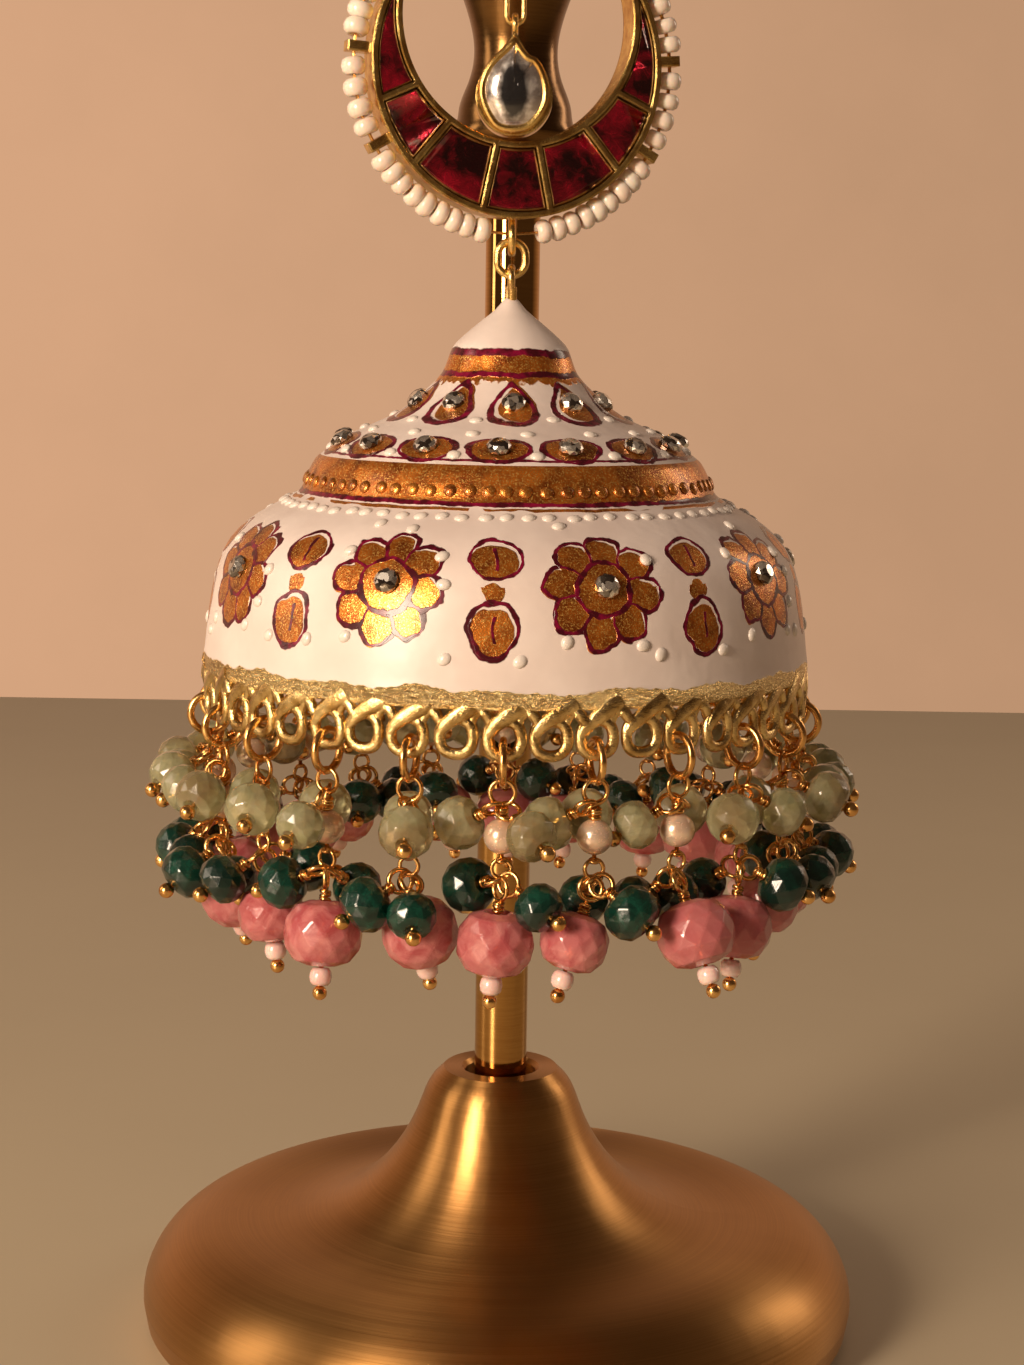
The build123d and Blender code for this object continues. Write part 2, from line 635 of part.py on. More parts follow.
def build_all():
    save(stand_base(), "stand_base")
    save(stand_pole(), "stand_pole")
    save(stand_finial(), "stand_finial")
    save(stand_arm(), "stand_arm")

    save(crescent_frame(), "crescent_frame")
    half = CRESCENT_THICK / 2
    back = -half + CELL_DEPTH - 0.1
    for number, stone in enumerate(cells(STONE_GAP, back - STONE_THICK, back), 1):
        save(at_crescent(stone), "ruby_%d" % number)
    sections = (("lower", -81.0, COLLAR_ANGLES[0] - 3.0, 9),
                ("middle", COLLAR_ANGLES[0] + 3.0, COLLAR_ANGLES[1] - 3.0, 4),
                ("upper", COLLAR_ANGLES[1] + 3.0, 46.0, 6))
    for side, flip in (("right", 1), ("left", -1)):
        for part, first, last, count in sections:
            save(pearl_string(first, last, count, flip), "pearl_string_%s_%s" % (side, part))

    save(pear_bezel(), "pear_bezel")
    save(pear_stone(), "pear_stone")
    save(pear_link(), "pear_link")
    save(link_ring(), "link_ring")
    save(dome(), "dome")

    charms = settled_charms()
    print("largest bead overlap left, mm:", round(worst_overlap(charms), 3))
    bore = PIN_R + BEAD_HOLE
    beads = {"pale": [], "dark": []}
    tips = []
    for charm in charms:
        size = charm["size"]
        if charm["kind"] == "pink":
            one = bead(size * PINK_R, size * PINK_LONG, bore, along(charm, PINK_REACH), charm["way"])
            save(one, "pink_bead_%02d" % (charm["drop"] + 1))
            spot, seed = charm["balls"][1]
            tips.append(bead(seed, 1.6 * seed, bore, along(charm, spot), charm["way"]))
        else:
            beads[charm["kind"]].append(
                bead(size * GREEN_R, size * GREEN_LONG, bore, along(charm, GREEN_REACH),
                     charm["way"]))
    save(Compound(beads["pale"]), "pale_green_beads", 2 * DROPS)
    save(Compound(beads["dark"]), "dark_green_beads", 2 * DROPS)
    save(Compound([pearl(k) for k in range(DROPS)]), "pearl_beads", DROPS)
    save(Compound(tips), "seed_beads", DROPS)
    wires = []
    for k in range(DROPS):
        mine = [charm for charm in charms if charm["drop"] == k]
        wires += solids_of(drop_wire(k, mine))
    save(Compound(wires), "drop_wires", DROPS)


build_all()
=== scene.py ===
import json
import math
import random

import bpy
from mathutils import Matrix, Vector

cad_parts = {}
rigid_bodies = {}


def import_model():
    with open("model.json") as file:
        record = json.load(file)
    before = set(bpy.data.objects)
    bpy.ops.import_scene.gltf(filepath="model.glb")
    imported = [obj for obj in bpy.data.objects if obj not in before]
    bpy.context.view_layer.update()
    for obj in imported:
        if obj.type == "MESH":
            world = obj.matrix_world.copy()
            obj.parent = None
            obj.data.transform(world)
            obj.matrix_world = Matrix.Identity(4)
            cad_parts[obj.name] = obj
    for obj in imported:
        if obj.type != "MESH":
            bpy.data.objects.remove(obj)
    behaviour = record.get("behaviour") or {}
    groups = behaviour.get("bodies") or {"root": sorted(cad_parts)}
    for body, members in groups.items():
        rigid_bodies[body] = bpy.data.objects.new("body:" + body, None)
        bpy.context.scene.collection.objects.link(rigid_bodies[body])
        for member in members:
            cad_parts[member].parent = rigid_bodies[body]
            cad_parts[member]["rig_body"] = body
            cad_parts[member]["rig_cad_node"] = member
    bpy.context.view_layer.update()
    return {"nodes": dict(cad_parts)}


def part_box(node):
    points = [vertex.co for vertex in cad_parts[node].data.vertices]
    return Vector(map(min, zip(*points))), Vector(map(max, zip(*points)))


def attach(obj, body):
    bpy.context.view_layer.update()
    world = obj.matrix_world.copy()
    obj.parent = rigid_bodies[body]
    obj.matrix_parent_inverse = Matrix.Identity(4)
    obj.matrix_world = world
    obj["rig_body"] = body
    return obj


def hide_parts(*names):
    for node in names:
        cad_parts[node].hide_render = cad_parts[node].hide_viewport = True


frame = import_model()
nodes = frame["nodes"]
MM = 0.001

# The setting: a pale table, soft studio lamps, and a camera near the height of the bell's tip that
# looks a little down. All are placed from the earring's upright line, which the bell's box gives.
bell_low, bell_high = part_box("dome")
AXIS = Vector(((bell_low.x + bell_high.x) / 2, (bell_low.y + bell_high.y) / 2, 0))
RIM = bell_low.z + 4.96 * MM

camera_data = bpy.data.cameras.new("camera")
camera_data.sensor_fit = "HORIZONTAL"
camera_data.sensor_width = 36
camera_data.lens = 85.3
camera_data.clip_start = 0.01
camera = bpy.data.objects.new("camera", camera_data)
bpy.context.scene.collection.objects.link(camera)
tilt = Matrix.Rotation(math.radians(90 - 8.13), 4, "X") @ Matrix.Rotation(math.radians(0.9), 4, "Z")
stand_off = Vector((0.63 * MM, AXIS.y - 220 * MM, RIM + 28.6 * MM))
camera.matrix_world = Matrix.Translation(stand_off) @ tilt
bpy.context.scene.camera = camera
bpy.context.scene.view_settings.view_transform = "Standard"


def clear():
    """Nothing selected, object mode."""
    if bpy.context.object and bpy.context.object.mode != "OBJECT":
        bpy.ops.object.mode_set(mode="OBJECT")
    bpy.ops.object.select_all(action="DESELECT")


def take(*pieces):
    """Selects these pieces alone; the first is the active one."""
    clear()
    for piece in pieces:
        piece.select_set(True)
    bpy.context.view_layer.objects.active = pieces[0]


def soft_lamp(name, place, aim, size, power, colour):
    data = bpy.data.lights.new(name, "AREA")
    data.shape = "RECTANGLE"
    data.size, data.size_y = size
    data.energy = power
    data.color = colour
    lamp = bpy.data.objects.new(name, data)
    bpy.context.scene.collection.objects.link(lamp)
    way = Vector(aim) - Vector(place)
    lamp.matrix_world = Matrix.Translation(Vector(place)) @ way.to_track_quat("-Z", "Y").to_matrix().to_4x4()


AIM = (0, AXIS.y, RIM)
soft_lamp("key", (-0.42, -0.54, 0.26), AIM, (0.15, 0.28), 5.4, (1.0, 0.79, 0.60))
soft_lamp("side", (-0.62, -0.06, 0.30), AIM, (0.16, 0.40), 0.8, (1.0, 0.80, 0.62))
soft_lamp("rim", (0.46, 0.26, 0.30), AIM, (0.10, 0.24), 0.35, (1.0, 0.80, 0.62))


class Wire:
    """A socket of a material's node tree; sums on it add Math nodes."""

    def __init__(self, tree, socket):
        self.tree = tree
        self.socket = socket

    def maths(self, operation, *others):
        return node(self.tree, "ShaderNodeMath", {"operation": operation}, {
            i: value for i, value in enumerate((self,) + others)})

    def __add__(self, other):
        return self.maths("ADD", other)

    def __sub__(self, other):
        return self.maths("SUBTRACT", other)

    def __rsub__(self, other):
        return node(self.tree, "ShaderNodeMath", {"operation": "SUBTRACT"}, {0: other, 1: self})

    def __mul__(self, other):
        return self.maths("MULTIPLY", other)

    def __truediv__(self, other):
        return self.maths("DIVIDE", other)

    def __lt__(self, other):
        return self.maths("LESS_THAN", other)

    def __gt__(self, other):
        return self.maths("GREATER_THAN", other)

    def __abs__(self):
        return self.maths("ABSOLUTE")

    __radd__ = __add__


def node(tree, kind, settings=None, sockets=None, out=0):
    """One node: its settings first, then its sockets' values or links. Gives the output named."""
    made = tree.nodes.new(kind)
    for name, value in (settings or {}).items():
        setattr(made, name, value)
    for name, value in (sockets or {}).items():
        if isinstance(value, Wire):
            tree.links.new(value.socket, made.inputs[name])
        else:
            made.inputs[name].default_value = value
    return Wire(tree, made.outputs[out]) if len(made.outputs) else None


def new_material(name):
    material = bpy.data.materials.new(name)
    material.use_nodes = True
    material.node_tree.nodes.clear()
    return material, material.node_tree


def surface(tree, **sockets):
    """The finish on the outside; names are the shader's sockets with _ for a space."""
    shader = node(tree, "ShaderNodeBsdfPrincipled", {}, {
        name.replace("_", " "): value for name, value in sockets.items()})
    node(tree, "ShaderNodeOutputMaterial", {}, {"Surface": shader})


def place_on(tree, centre=(0, 0, 0)):
    """Places on the object in millimetres, counted from centre."""
    here = node(tree, "ShaderNodeTexCoord", out="Object")
    return node(tree, "ShaderNodeMapping", {"vector_type": "TEXTURE"}, {
        "Vector": here, "Location": centre, "Scale": (MM, MM, MM)})


def numbers(tree, spot):
    """The x, y and z of a place or a way, each on its own."""
    parts = tree.nodes.new("ShaderNodeSeparateXYZ")
    tree.links.new(spot.socket, parts.inputs[0])
    return [Wire(tree, parts.outputs[i]) for i in range(3)]


def grain(tree, spot, scale, detail=3.0, rough=0.55, warp=0.0):
    """Cloudy noise from about 0.2 to 0.8; a larger scale makes it finer."""
    return node(tree, "ShaderNodeTexNoise", {}, {
        "Vector": spot, "Scale": scale, "Detail": detail, "Roughness": rough, "Distortion": warp})


def step(value, low, high):
    """0 below low and 1 above high, with a straight ramp between."""
    return node(value.tree, "ShaderNodeMapRange", {"clamp": True}, {
        "Value": value, "From Min": low, "From Max": high})


def blend(tree, share, under, over):
    """under where share is 0, over where it is 1; both are colours."""
    mix = tree.nodes.new("ShaderNodeMix")
    mix.data_type = "RGBA"
    for socket, value in ((mix.inputs[0], share), (mix.inputs[6], under), (mix.inputs[7], over)):
        if isinstance(value, Wire):
            tree.links.new(value.socket, socket)
        elif isinstance(value, tuple):
            socket.default_value = (*value, 1)
        else:
            socket.default_value = value
    return Wire(tree, mix.outputs[2])


def relief(tree, height, distance, strength, under=None):
    """Small bumps that follow height, laid over the normal under where there is one."""
    sockets = {"Height": height, "Distance": distance, "Strength": strength}
    if under:
        sockets["Normal"] = under
    return node(tree, "ShaderNodeBump", {}, sockets)


WALL_LIT = (0.67, 0.375, 0.215)
WALL_SHADED = (0.51, 0.29, 0.165)
ROOM_DIM = (0.07, 0.042, 0.026)
bpy.context.scene.world = world = bpy.data.worlds.new("studio")
world.use_nodes = True
world.node_tree.nodes.clear()
tree = world.node_tree
rays = tree.nodes.new("ShaderNodeLightPath")
seen = Wire(tree, rays.outputs["Is Camera Ray"])
for kind in ("Is Glossy Ray", "Is Transmission Ray"):
    seen = seen.maths("MAXIMUM", Wire(tree, rays.outputs[kind]))
way = node(tree, "ShaderNodeTexCoord", out="Generated")
x, y, z = numbers(tree, way)
share = step(z, 0.2, 0.7).maths("MAXIMUM", step(y, 0.8, 0.1))
plaster = grain(tree, way, 11.0, 5, 0.6) - 0.5
# the wall behind is painted lit on the left and in painted shade on the right
wall = blend(tree, step(x + plaster * 0.22, -0.2, 0.2), WALL_LIT, WALL_SHADED)
backdrop = node(tree, "ShaderNodeBackground", {}, {"Color": blend(tree, share, wall, ROOM_DIM)})
room = node(tree, "ShaderNodeBackground", {}, {"Color": (0.50, 0.36, 0.27, 1), "Strength": 0.33})
both = node(tree, "ShaderNodeMixShader", {}, {0: seen, 1: room, 2: backdrop})
node(tree, "ShaderNodeOutputWorld", {}, {"Surface": both})

clear()
bpy.ops.mesh.primitive_plane_add(size=1, location=(0, -0.77, -0.0001))
table = bpy.context.object
table.name = "table"
table.scale = (4, 2.45, 1)
bpy.ops.object.transform_apply(location=True, scale=True)
material, tree = new_material("table_top")
spot = place_on(tree)
cloud = grain(tree, spot, 0.012, 4)
surface(tree, Base_Color=blend(tree, cloud, (0.55, 0.46, 0.315), (0.63, 0.53, 0.365)), Roughness=0.4)
table.data.materials.append(material)

# The stand: a heavy turned brass foot with a domed brim, a plain pole, a spool and a crook.
# The foot is brushed while it turns in the lathe; the spool is the same brass, painted darker as shade
# where it would mirror the dim room; the pole and crook are polished.


def turned_brass(name, colour, dark, rough, brushing, streak):
    """Brass finished in the lathe; streak draws its highlights out across the fine turned lines."""
    material, tree = new_material(name)
    spot = place_on(tree)
    x, y, z = numbers(tree, spot)
    out = (x * x + y * y).maths("SQRT")
    turn = y.maths("ARCTAN2", x)
    lines = node(tree, "ShaderNodeCombineXYZ", {}, {0: out * 5.0, 1: z * 5.0, 2: turn * 0.7})
    brushed = grain(tree, lines, 1.0, 4, 0.7)
    cloud = grain(tree, spot, 0.05, 3)
    shade = blend(tree, step(brushed * 0.6 + cloud * 0.5, 0.3, 0.8), dark, colour)
    surface(tree, Base_Color=shade, Metallic=1.0, Roughness=(brushed * 0.4 + cloud * 0.25) * brushing + rough,
            Anisotropic=streak, Anisotropic_Rotation=0.25,
            Normal=relief(tree, brushed, 0.03 * MM, brushing))
    return material


brushed_brass = turned_brass("brushed_brass", (0.62, 0.34, 0.12), (0.40, 0.20, 0.06), 0.26, 0.4, 0.8)
# the spool's colours are painted shade: the same brass, darkened where it would mirror the dim room
shaded_brass = turned_brass("shaded_brass", (0.26, 0.14, 0.05), (0.13, 0.065, 0.022), 0.10, 0.4, 0.0)
polished_brass = turned_brass("polished_brass", (0.66, 0.38, 0.12), (0.42, 0.21, 0.06), 0.02, 0.10, 0.0)
for name, metal in (("stand_base", brushed_brass), ("stand_finial", shaded_brass),
                    ("stand_pole", polished_brass), ("stand_arm", polished_brass)):
    nodes[name].data.materials.clear()
    nodes[name].data.materials.append(metal)

# The crescent: a gold tray with upright walls and thin partitions, soldered with its ring,
# button and hooks. The pear's rim and the two small links are of the same gold. Polishing has
# rounded its edges, and its sides show fine file marks.


def gold(name, colour, shadow, rough, edge, grit, grit_size):
    """Polished gold with patches of tarnish; edge is how far its corners look rounded, in mm."""
    material, tree = new_material(name)
    spot = place_on(tree)
    tarnish = grain(tree, spot, 0.55, 4, 0.6)
    marks = grain(tree, spot, grit_size, 4, 0.65)
    rounded = node(tree, "ShaderNodeBevel", {"samples": 4}, {"Radius": edge * MM})
    surface(tree, Base_Color=blend(tree, step(tarnish, 0.35, 0.62), shadow, colour), Metallic=1.0,
            Roughness=marks * 0.22 + tarnish * 0.10 + rough,
            Normal=relief(tree, marks, grit * MM, 0.6, rounded))
    return material


def done(piece, material, body, slot, *stands_for):
    """A finished piece: its one material, the body it moves with, what it stands for; slot is not used."""
    if material:
        piece.data.materials.clear()
        piece.data.materials.append(material)
    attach(piece, body)
    if stands_for:
        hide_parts(*stands_for)


tray_gold = gold("tray_gold", (1.0, 0.72, 0.26), (0.62, 0.34, 0.09), 0.08, 0.30, 0.03, 1.4)
for name in ("crescent_frame", "pear_bezel", "pear_link", "link_ring"):
    nodes[name].data.materials.clear()
    nodes[name].data.materials.append(tray_gold)

# The seven rubies: flat deep crimson glass over crinkled foil, each bedded in soft gold leaf
# that is pressed up round it inside its cell.


def copy_of(name, made_name):
    """A merged copy of a CAD piece, its flat faces made whole."""
    source = nodes[name]
    piece = source.copy()
    piece.data = source.data.copy()
    piece.parent = None
    piece.name = made_name
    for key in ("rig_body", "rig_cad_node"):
        if key in piece:
            del piece[key]
    bpy.context.scene.collection.objects.link(piece)
    take(piece)
    bpy.ops.object.mode_set(mode="EDIT")
    bpy.ops.mesh.select_all(action="SELECT")
    bpy.ops.mesh.remove_doubles(threshold=1e-6)
    bpy.ops.mesh.dissolve_limited(angle_limit=math.radians(2))
    bpy.ops.object.mode_set(mode="OBJECT")
    return piece


def pick_faces(piece, wanted):
    """Leaves edit mode on with only the faces that wanted(face) names selected."""
    take(piece)
    bpy.ops.object.mode_set(mode="EDIT")
    bpy.ops.mesh.select_mode(type="FACE")
    bpy.ops.mesh.select_all(action="DESELECT")
    bpy.ops.object.mode_set(mode="OBJECT")
    for face in piece.data.polygons:
        face.select = bool(wanted(face))
    bpy.ops.object.mode_set(mode="EDIT")


CRESCENT_TURN = math.radians(17)
FACING = Vector((math.sin(CRESCENT_TURN), -math.cos(CRESCENT_TURN), 0))

ruby, tree = new_material("ruby_over_foil")
spot = place_on(tree)
crinkle = grain(tree, spot, 1.0, 5, 0.62, warp=0.8)
pool = grain(tree, spot, 0.28, 2, 0.5)
red = blend(tree, step(crinkle * 0.45 + pool * 1.1, 0.66, 0.98), (0.03, 0.0005, 0.002), (0.60, 0.005, 0.035))
surface(tree, Base_Color=red, Metallic=0.75, Roughness=crinkle * 0.26 + 0.12, Coat_Weight=1.0,
        Coat_Roughness=0.03, Coat_IOR=1.6, Normal=relief(tree, crinkle, 0.18 * MM, 0.7))

leaf = gold("pressed_leaf", (0.62, 0.36, 0.13), (0.30, 0.15, 0.05), 0.26, 0.08, 0.10, 3.4)

for number in range(1, 8):
    node_name = "ruby_%d" % number
    stone = copy_of(node_name, "crimson_stone_%d" % number)
    stone.data.materials.clear()
    stone.data.materials.append(leaf)
    stone.data.materials.append(ruby)
    pick_faces(stone, lambda face: face.normal.dot(FACING) > 0.97)
    narrow = 0.5 if number in (1, 7) else 1.0
    bpy.ops.mesh.inset(thickness=0.13 * narrow * MM, depth=0.10 * MM, use_even_offset=False)
    bpy.ops.mesh.inset(thickness=0.05 * narrow * MM, depth=-0.12 * MM, use_even_offset=False)
    stone.active_material_index = 1
    bpy.ops.object.material_slot_assign()
    bpy.ops.mesh.inset(thickness=0.10 * narrow * MM, depth=0.05 * MM, use_even_offset=False)
    bpy.ops.object.mode_set(mode="OBJECT")
    done(stone, None, "stand", "ruby", node_name)

# The seed pearls: small squashed glass seeds on a doubled fine wire round the crescent's rim,
# held by square gold collars.


def repeat(model, places, name):
    """Copies of a model, each with its own mesh, at these places, joined under one name."""
    made = []
    for place in places:
        copy = model.copy()
        copy.data = model.data.copy()
        bpy.context.scene.collection.objects.link(copy)
        copy.matrix_world = place
        made.append(copy)
    take(*made)
    if len(made) > 1:
        bpy.ops.object.join()
    bpy.ops.object.transform_apply(location=True, rotation=True, scale=True)
    made[0].name = name
    return made[0]


def seed_model(radius, thick):
    """A pierced seed: a fat ring, this thick along its hole."""
    clear()
    bpy.ops.mesh.primitive_torus_add(major_radius=0.53 * radius, minor_radius=0.47 * radius,
                                     major_segments=16, minor_segments=10)
    seed = bpy.context.object
    seed.scale = (1, 1, thick / (0.94 * radius))
    bpy.ops.object.transform_apply(scale=True)
    bpy.ops.object.shade_smooth()
    return seed


def pearly(name, colour, shadow, rosy, size, lustre=0.0):
    """Pearl: a soft bloom of two tones with rosy patches, and small pits of this size in mm."""
    material, tree = new_material(name)
    spot = place_on(tree)
    bloom = grain(tree, spot, 0.45, 3, 0.5)
    skin = grain(tree, spot, 3.5, 3, 0.6)
    tint = blend(tree, step(bloom, 0.36, 0.64), shadow, colour)
    tint = blend(tree, step(skin, 0.45, 0.75) * 0.35, tint, rosy)
    surface(tree, Base_Color=tint, Metallic=lustre, Roughness=skin * 0.18 + 0.16, Subsurface_Weight=0.5,
            Subsurface_Radius=(1.0, 0.6, 0.4), Subsurface_Scale=0.7 * MM, Coat_Weight=0.7,
            Coat_Roughness=0.12, Normal=relief(tree, skin, size * MM, 0.5))
    return material


random.seed(4)
seed_cream = pearly("seed_cream", (0.93, 0.81, 0.70), (0.84, 0.69, 0.58), (0.93, 0.74, 0.64), 0.03)
STRING_R = 14.6 * MM
CRESCENT_Z = RIM + 52.2 * MM
crescent_middle = AXIS + Vector((0, 0, CRESCENT_Z))
crescent_place = Matrix.Translation(crescent_middle) @ Matrix.Rotation(CRESCENT_TURN, 4, "Z")
seed = seed_model(1.16 * MM, 1.46 * MM)
STRINGS = (("lower", -81.0, -33.0, 9), ("middle", -27.0, 1.0, 4), ("upper", 7.0, 46.0, 6))
for side, flip in (("right", 1), ("left", -1)):
    for part, first, last, count in STRINGS:
        places = []
        for k in range(count):
            angle = math.radians(first + (k + 0.5) * (last - first) / count + random.uniform(-0.35, 0.35))
            at = Vector((flip * STRING_R * math.cos(angle), random.uniform(-0.08, 0.08) * MM,
                         STRING_R * math.sin(angle)))
            along = Vector((-flip * math.sin(angle), random.uniform(-0.14, 0.14), math.cos(angle)))
            size = random.uniform(0.93, 1.02)
            places.append(crescent_place @ Matrix.Translation(at) @ along.to_track_quat("Z", "Y").to_matrix()
                          .to_4x4() @ Matrix.Diagonal((size, size, random.uniform(0.9, 1.08), 1)))
        string = repeat(seed, places, "seed_pearls_%s_%s" % (side, part))
        done(string, seed_cream, "stand", "pearl", "pearl_string_%s_%s" % (side, part))
bpy.data.objects.remove(seed)

fine_wire = gold("fine_wire", (0.86, 0.52, 0.20), (0.55, 0.28, 0.09), 0.10, 0.02, 0.01, 3.0)
for number, shift in enumerate((-0.17, 0.17), 1):
    clear()
    bpy.ops.mesh.primitive_torus_add(major_radius=STRING_R, minor_radius=0.11 * MM,
                                     major_segments=96, minor_segments=6, rotation=(math.pi / 2, 0, 0),
                                     location=(0, shift * MM, 0))
    thread = bpy.context.object
    bpy.ops.object.transform_apply(location=True, rotation=True)
    bpy.ops.object.mode_set(mode="EDIT")
    bpy.ops.mesh.select_all(action="SELECT")
    bpy.ops.mesh.bisect(plane_co=(0, 0, STRING_R * math.sin(math.radians(46))), plane_no=(0, 0, 1),
                        clear_outer=True, use_fill=True)
    bpy.ops.object.mode_set(mode="OBJECT")
    thread.matrix_world = crescent_place
    bpy.ops.object.transform_apply(location=True, rotation=True)
    bpy.ops.object.shade_smooth()
    thread.name = "string_wire_%d" % number
    done(thread, fine_wire, "stand", "gold")

# The pear drop: a clear stone with a mirror at its back, its face raised in low rounded steps to a
# small flat top. It sits in the thick gold rim that hangs from the button, edged with a gold bead.
pear_low, pear_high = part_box("pear_stone")
pear_heart = ((pear_low.x + pear_high.x) / 2, pear_low.y, pear_low.z + 0.42 * (pear_high.z - pear_low.z))
mirror_stone, tree = new_material("mirrored_crystal")
spot = place_on(tree, pear_heart)
x, y, z = numbers(tree, spot)
# colour: painted reflection, near black in the middle where the mirror faces the dim room, painted glare at
# the edges
veil = grain(tree, spot, 0.9, 3)
from_heart = (x * x / 1.55 + z * z / 6.4).maths("SQRT") + (veil - 0.5) * 0.5
painted_glare = blend(tree, step(veil, 0.44, 0.58), (0.55, 0.48, 0.44), (1.0, 0.96, 0.92))
surface(tree, Base_Color=blend(tree, step(from_heart, 0.80, 1.2), (0.06, 0.058, 0.06), painted_glare),
        Metallic=0.8, Roughness=veil * 0.30 + 0.04, Coat_Weight=1.0, Coat_Roughness=0.01)
pear = copy_of("pear_stone", "pear_crystal")
pick_faces(pear, lambda face: face.normal.y < -0.97)
bpy.ops.mesh.duplicate()
bpy.ops.mesh.separate(type="SELECTED")
pick_faces(pear, lambda face: face.normal.y < -0.97)
for share, out_by in ((0.97, 0.0), (0.88, 0.34), (0.84, 0.26), (0.76, 0.18), (0.66, 0.10), (0.5, 0.04)):
    bpy.ops.mesh.extrude_region_move(TRANSFORM_OT_translate={"value": (0, -out_by * MM, 0)})
    bpy.ops.transform.resize(value=(share, 1, share), center_override=pear_heart)
bpy.ops.object.mode_set(mode="OBJECT")
bpy.ops.object.shade_smooth_by_angle(angle=math.radians(50))
pear_bead = bpy.context.scene.objects["pear_crystal.001"]
take(pear_bead)
bpy.ops.object.mode_set(mode="EDIT")
bpy.ops.mesh.select_all(action="SELECT")
bpy.ops.mesh.delete(type="ONLY_FACE")
bpy.ops.object.mode_set(mode="OBJECT")
bpy.ops.object.convert(target="CURVE")
pear_bead.data.bevel_depth = 0.34 * MM
pear_bead.data.bevel_resolution = 3
bpy.ops.object.convert(target="MESH")
bpy.ops.object.shade_smooth()
pear_bead.name = "pear_rim_bead"
done(pear_bead, tray_gold, "stand", "gold")
done(pear, mirror_stone, "stand", "clear_stone", "pear_stone")

# The bell: raised copper under thick cream enamel, open below, turned as one closed shell.
# Flowers, buds, ovals and drops are painted on it in gold and outlined in maroon by hand.
BELL = AXIS + Vector((0, 0, RIM))
OUTSIDE = [(27.3, -1.3), (27.46, -1.1), (27.46, -0.2), (27.3, 0.5), (27.2, 1.7), (26.95, 3.8),
           (26.66, 5.8), (26.09, 8.25), (25.17, 10.3), (23.35, 11.98), (21.72, 12.98),
           (20.4, 13.64), (19.0, 14.42), (18.6, 14.85), (18.35, 15.6), (18.1, 16.2),
           (17.6, 17.2), (17.25, 17.7), (16.73, 18.0), (15.59, 19.07), (13.24, 20.22),
           (11.2, 21.05), (9.37, 22.0), (7.47, 23.78), (6.3, 24.89), (5.84, 25.65),
           (5.39, 27.08), (5.1, 27.79), (3.86, 28.88), (2.6, 29.95), (1.29, 30.9),
           (0.72, 31.78), (0.3, 32.0)]
INSIDE = [(0.3, 28.2), (3.0, 27.9), (4.4, 27.0), (5.4, 24.6), (6.6, 23.2), (8.7, 21.2),
          (14.9, 18.1), (16.2, 17.0), (17.1, 16.0), (17.6, 14.4), (20.0, 12.6), (22.8, 11.1),
          (24.3, 9.8), (25.1, 8.0), (25.7, 5.6), (26.2, 1.7), (26.3, -1.3)]


def turned(name, centre, outline, around):
    """A closed turned shape: one ring drawn on from point to point, its two ends filled."""
    clear()
    bpy.ops.mesh.primitive_circle_add(vertices=around, radius=outline[0][0] * MM,
                                      location=centre + Vector((0, 0, outline[0][1] * MM)))
    piece = bpy.context.object
    piece.name = name
    bpy.ops.object.transform_apply(location=True)
    bpy.ops.object.mode_set(mode="EDIT")
    bpy.ops.mesh.select_mode(type="VERT")
    bpy.ops.mesh.select_all(action="SELECT")
    for (r0, z0), (r1, z1) in zip(outline, outline[1:]):
        bpy.ops.mesh.extrude_region_move(TRANSFORM_OT_translate={"value": (0, 0, (z1 - z0) * MM)})
        bpy.ops.transform.resize(value=(r1 / r0, r1 / r0, 1), center_override=(centre.x, centre.y, 0))
    bpy.ops.mesh.select_all(action="SELECT")
    bpy.ops.mesh.fill_holes(sides=0)
    bpy.ops.mesh.normals_make_consistent(inside=False)
    bpy.ops.object.mode_set(mode="OBJECT")
    return piece


def smoothed(piece, levels):
    take(piece)
    modifier = piece.modifiers.new("smooth", "SUBSURF")
    modifier.levels = modifier.render_levels = levels
    bpy.ops.object.modifier_apply(modifier=modifier.name)
    bpy.ops.object.shade_smooth()
    return piece


def folded(turn, pitch, first=0.0):
    """How far round from the nearest of the marks that stand every pitch degrees, in radians."""
    pitch, first = math.radians(pitch), math.radians(first)
    return (((turn - first) / pitch + 0.5).maths("FRACT") - 0.5) * pitch


def far(a, b):
    return (a * a + b * b).maths("SQRT")


def up_the_side(out, z, at_out, at_z):
    """Distance up the bell's side from a ring of it, less below."""
    rise = z - at_z
    return rise.maths("SIGN") * far(rise, at_out - out)


def inked(distance, at, width):
    """A brushed line where distance is at; width, in the same measure, may vary."""
    return step(abs(distance - at) / width, 1.0, 0.75)


def both_of(*masks):
    """The strongest of several masks."""
    most = masks[0]
    for mask in masks[1:]:
        most = most.maths("MAXIMUM", mask)
    return most


def inside(distance, edge=1.0):
    return step(distance, edge, edge - 0.03)


enamel, tree = new_material("painted_enamel")
spot = place_on(tree, (BELL.x, BELL.y, BELL.z))
x, y, z = numbers(tree, spot)
out = far(x, y)
turn = x.maths("ARCTAN2", y * -1)
hand_a = grain(tree, spot, 0.42, 2) - 0.5
hand_b = grain(tree, node(tree, "ShaderNodeVectorMath", {"operation": "ADD"}, {
    0: spot, 1: (31.0, 17.0, 5.0)}), 0.42, 2) - 0.5
brush = grain(tree, spot, 0.9, 2)
pressure = brush * 1.7 - 0.15

# flowers: eight petals round a ringed middle
side = folded(turn, 40, 18) * out + hand_a * 1.3
up = up_the_side(out, z, 26.05, 8.55) + hand_b * 1.3


def petals(side, up):
    round_it = folded(side.maths("ARCTAN2", up), 45, 8)
    reach = far(side, up)
    along = reach * round_it.maths("COSINE") - 3.45
    return far(along / 1.65, reach * round_it.maths("SINE") / 1.5), round_it


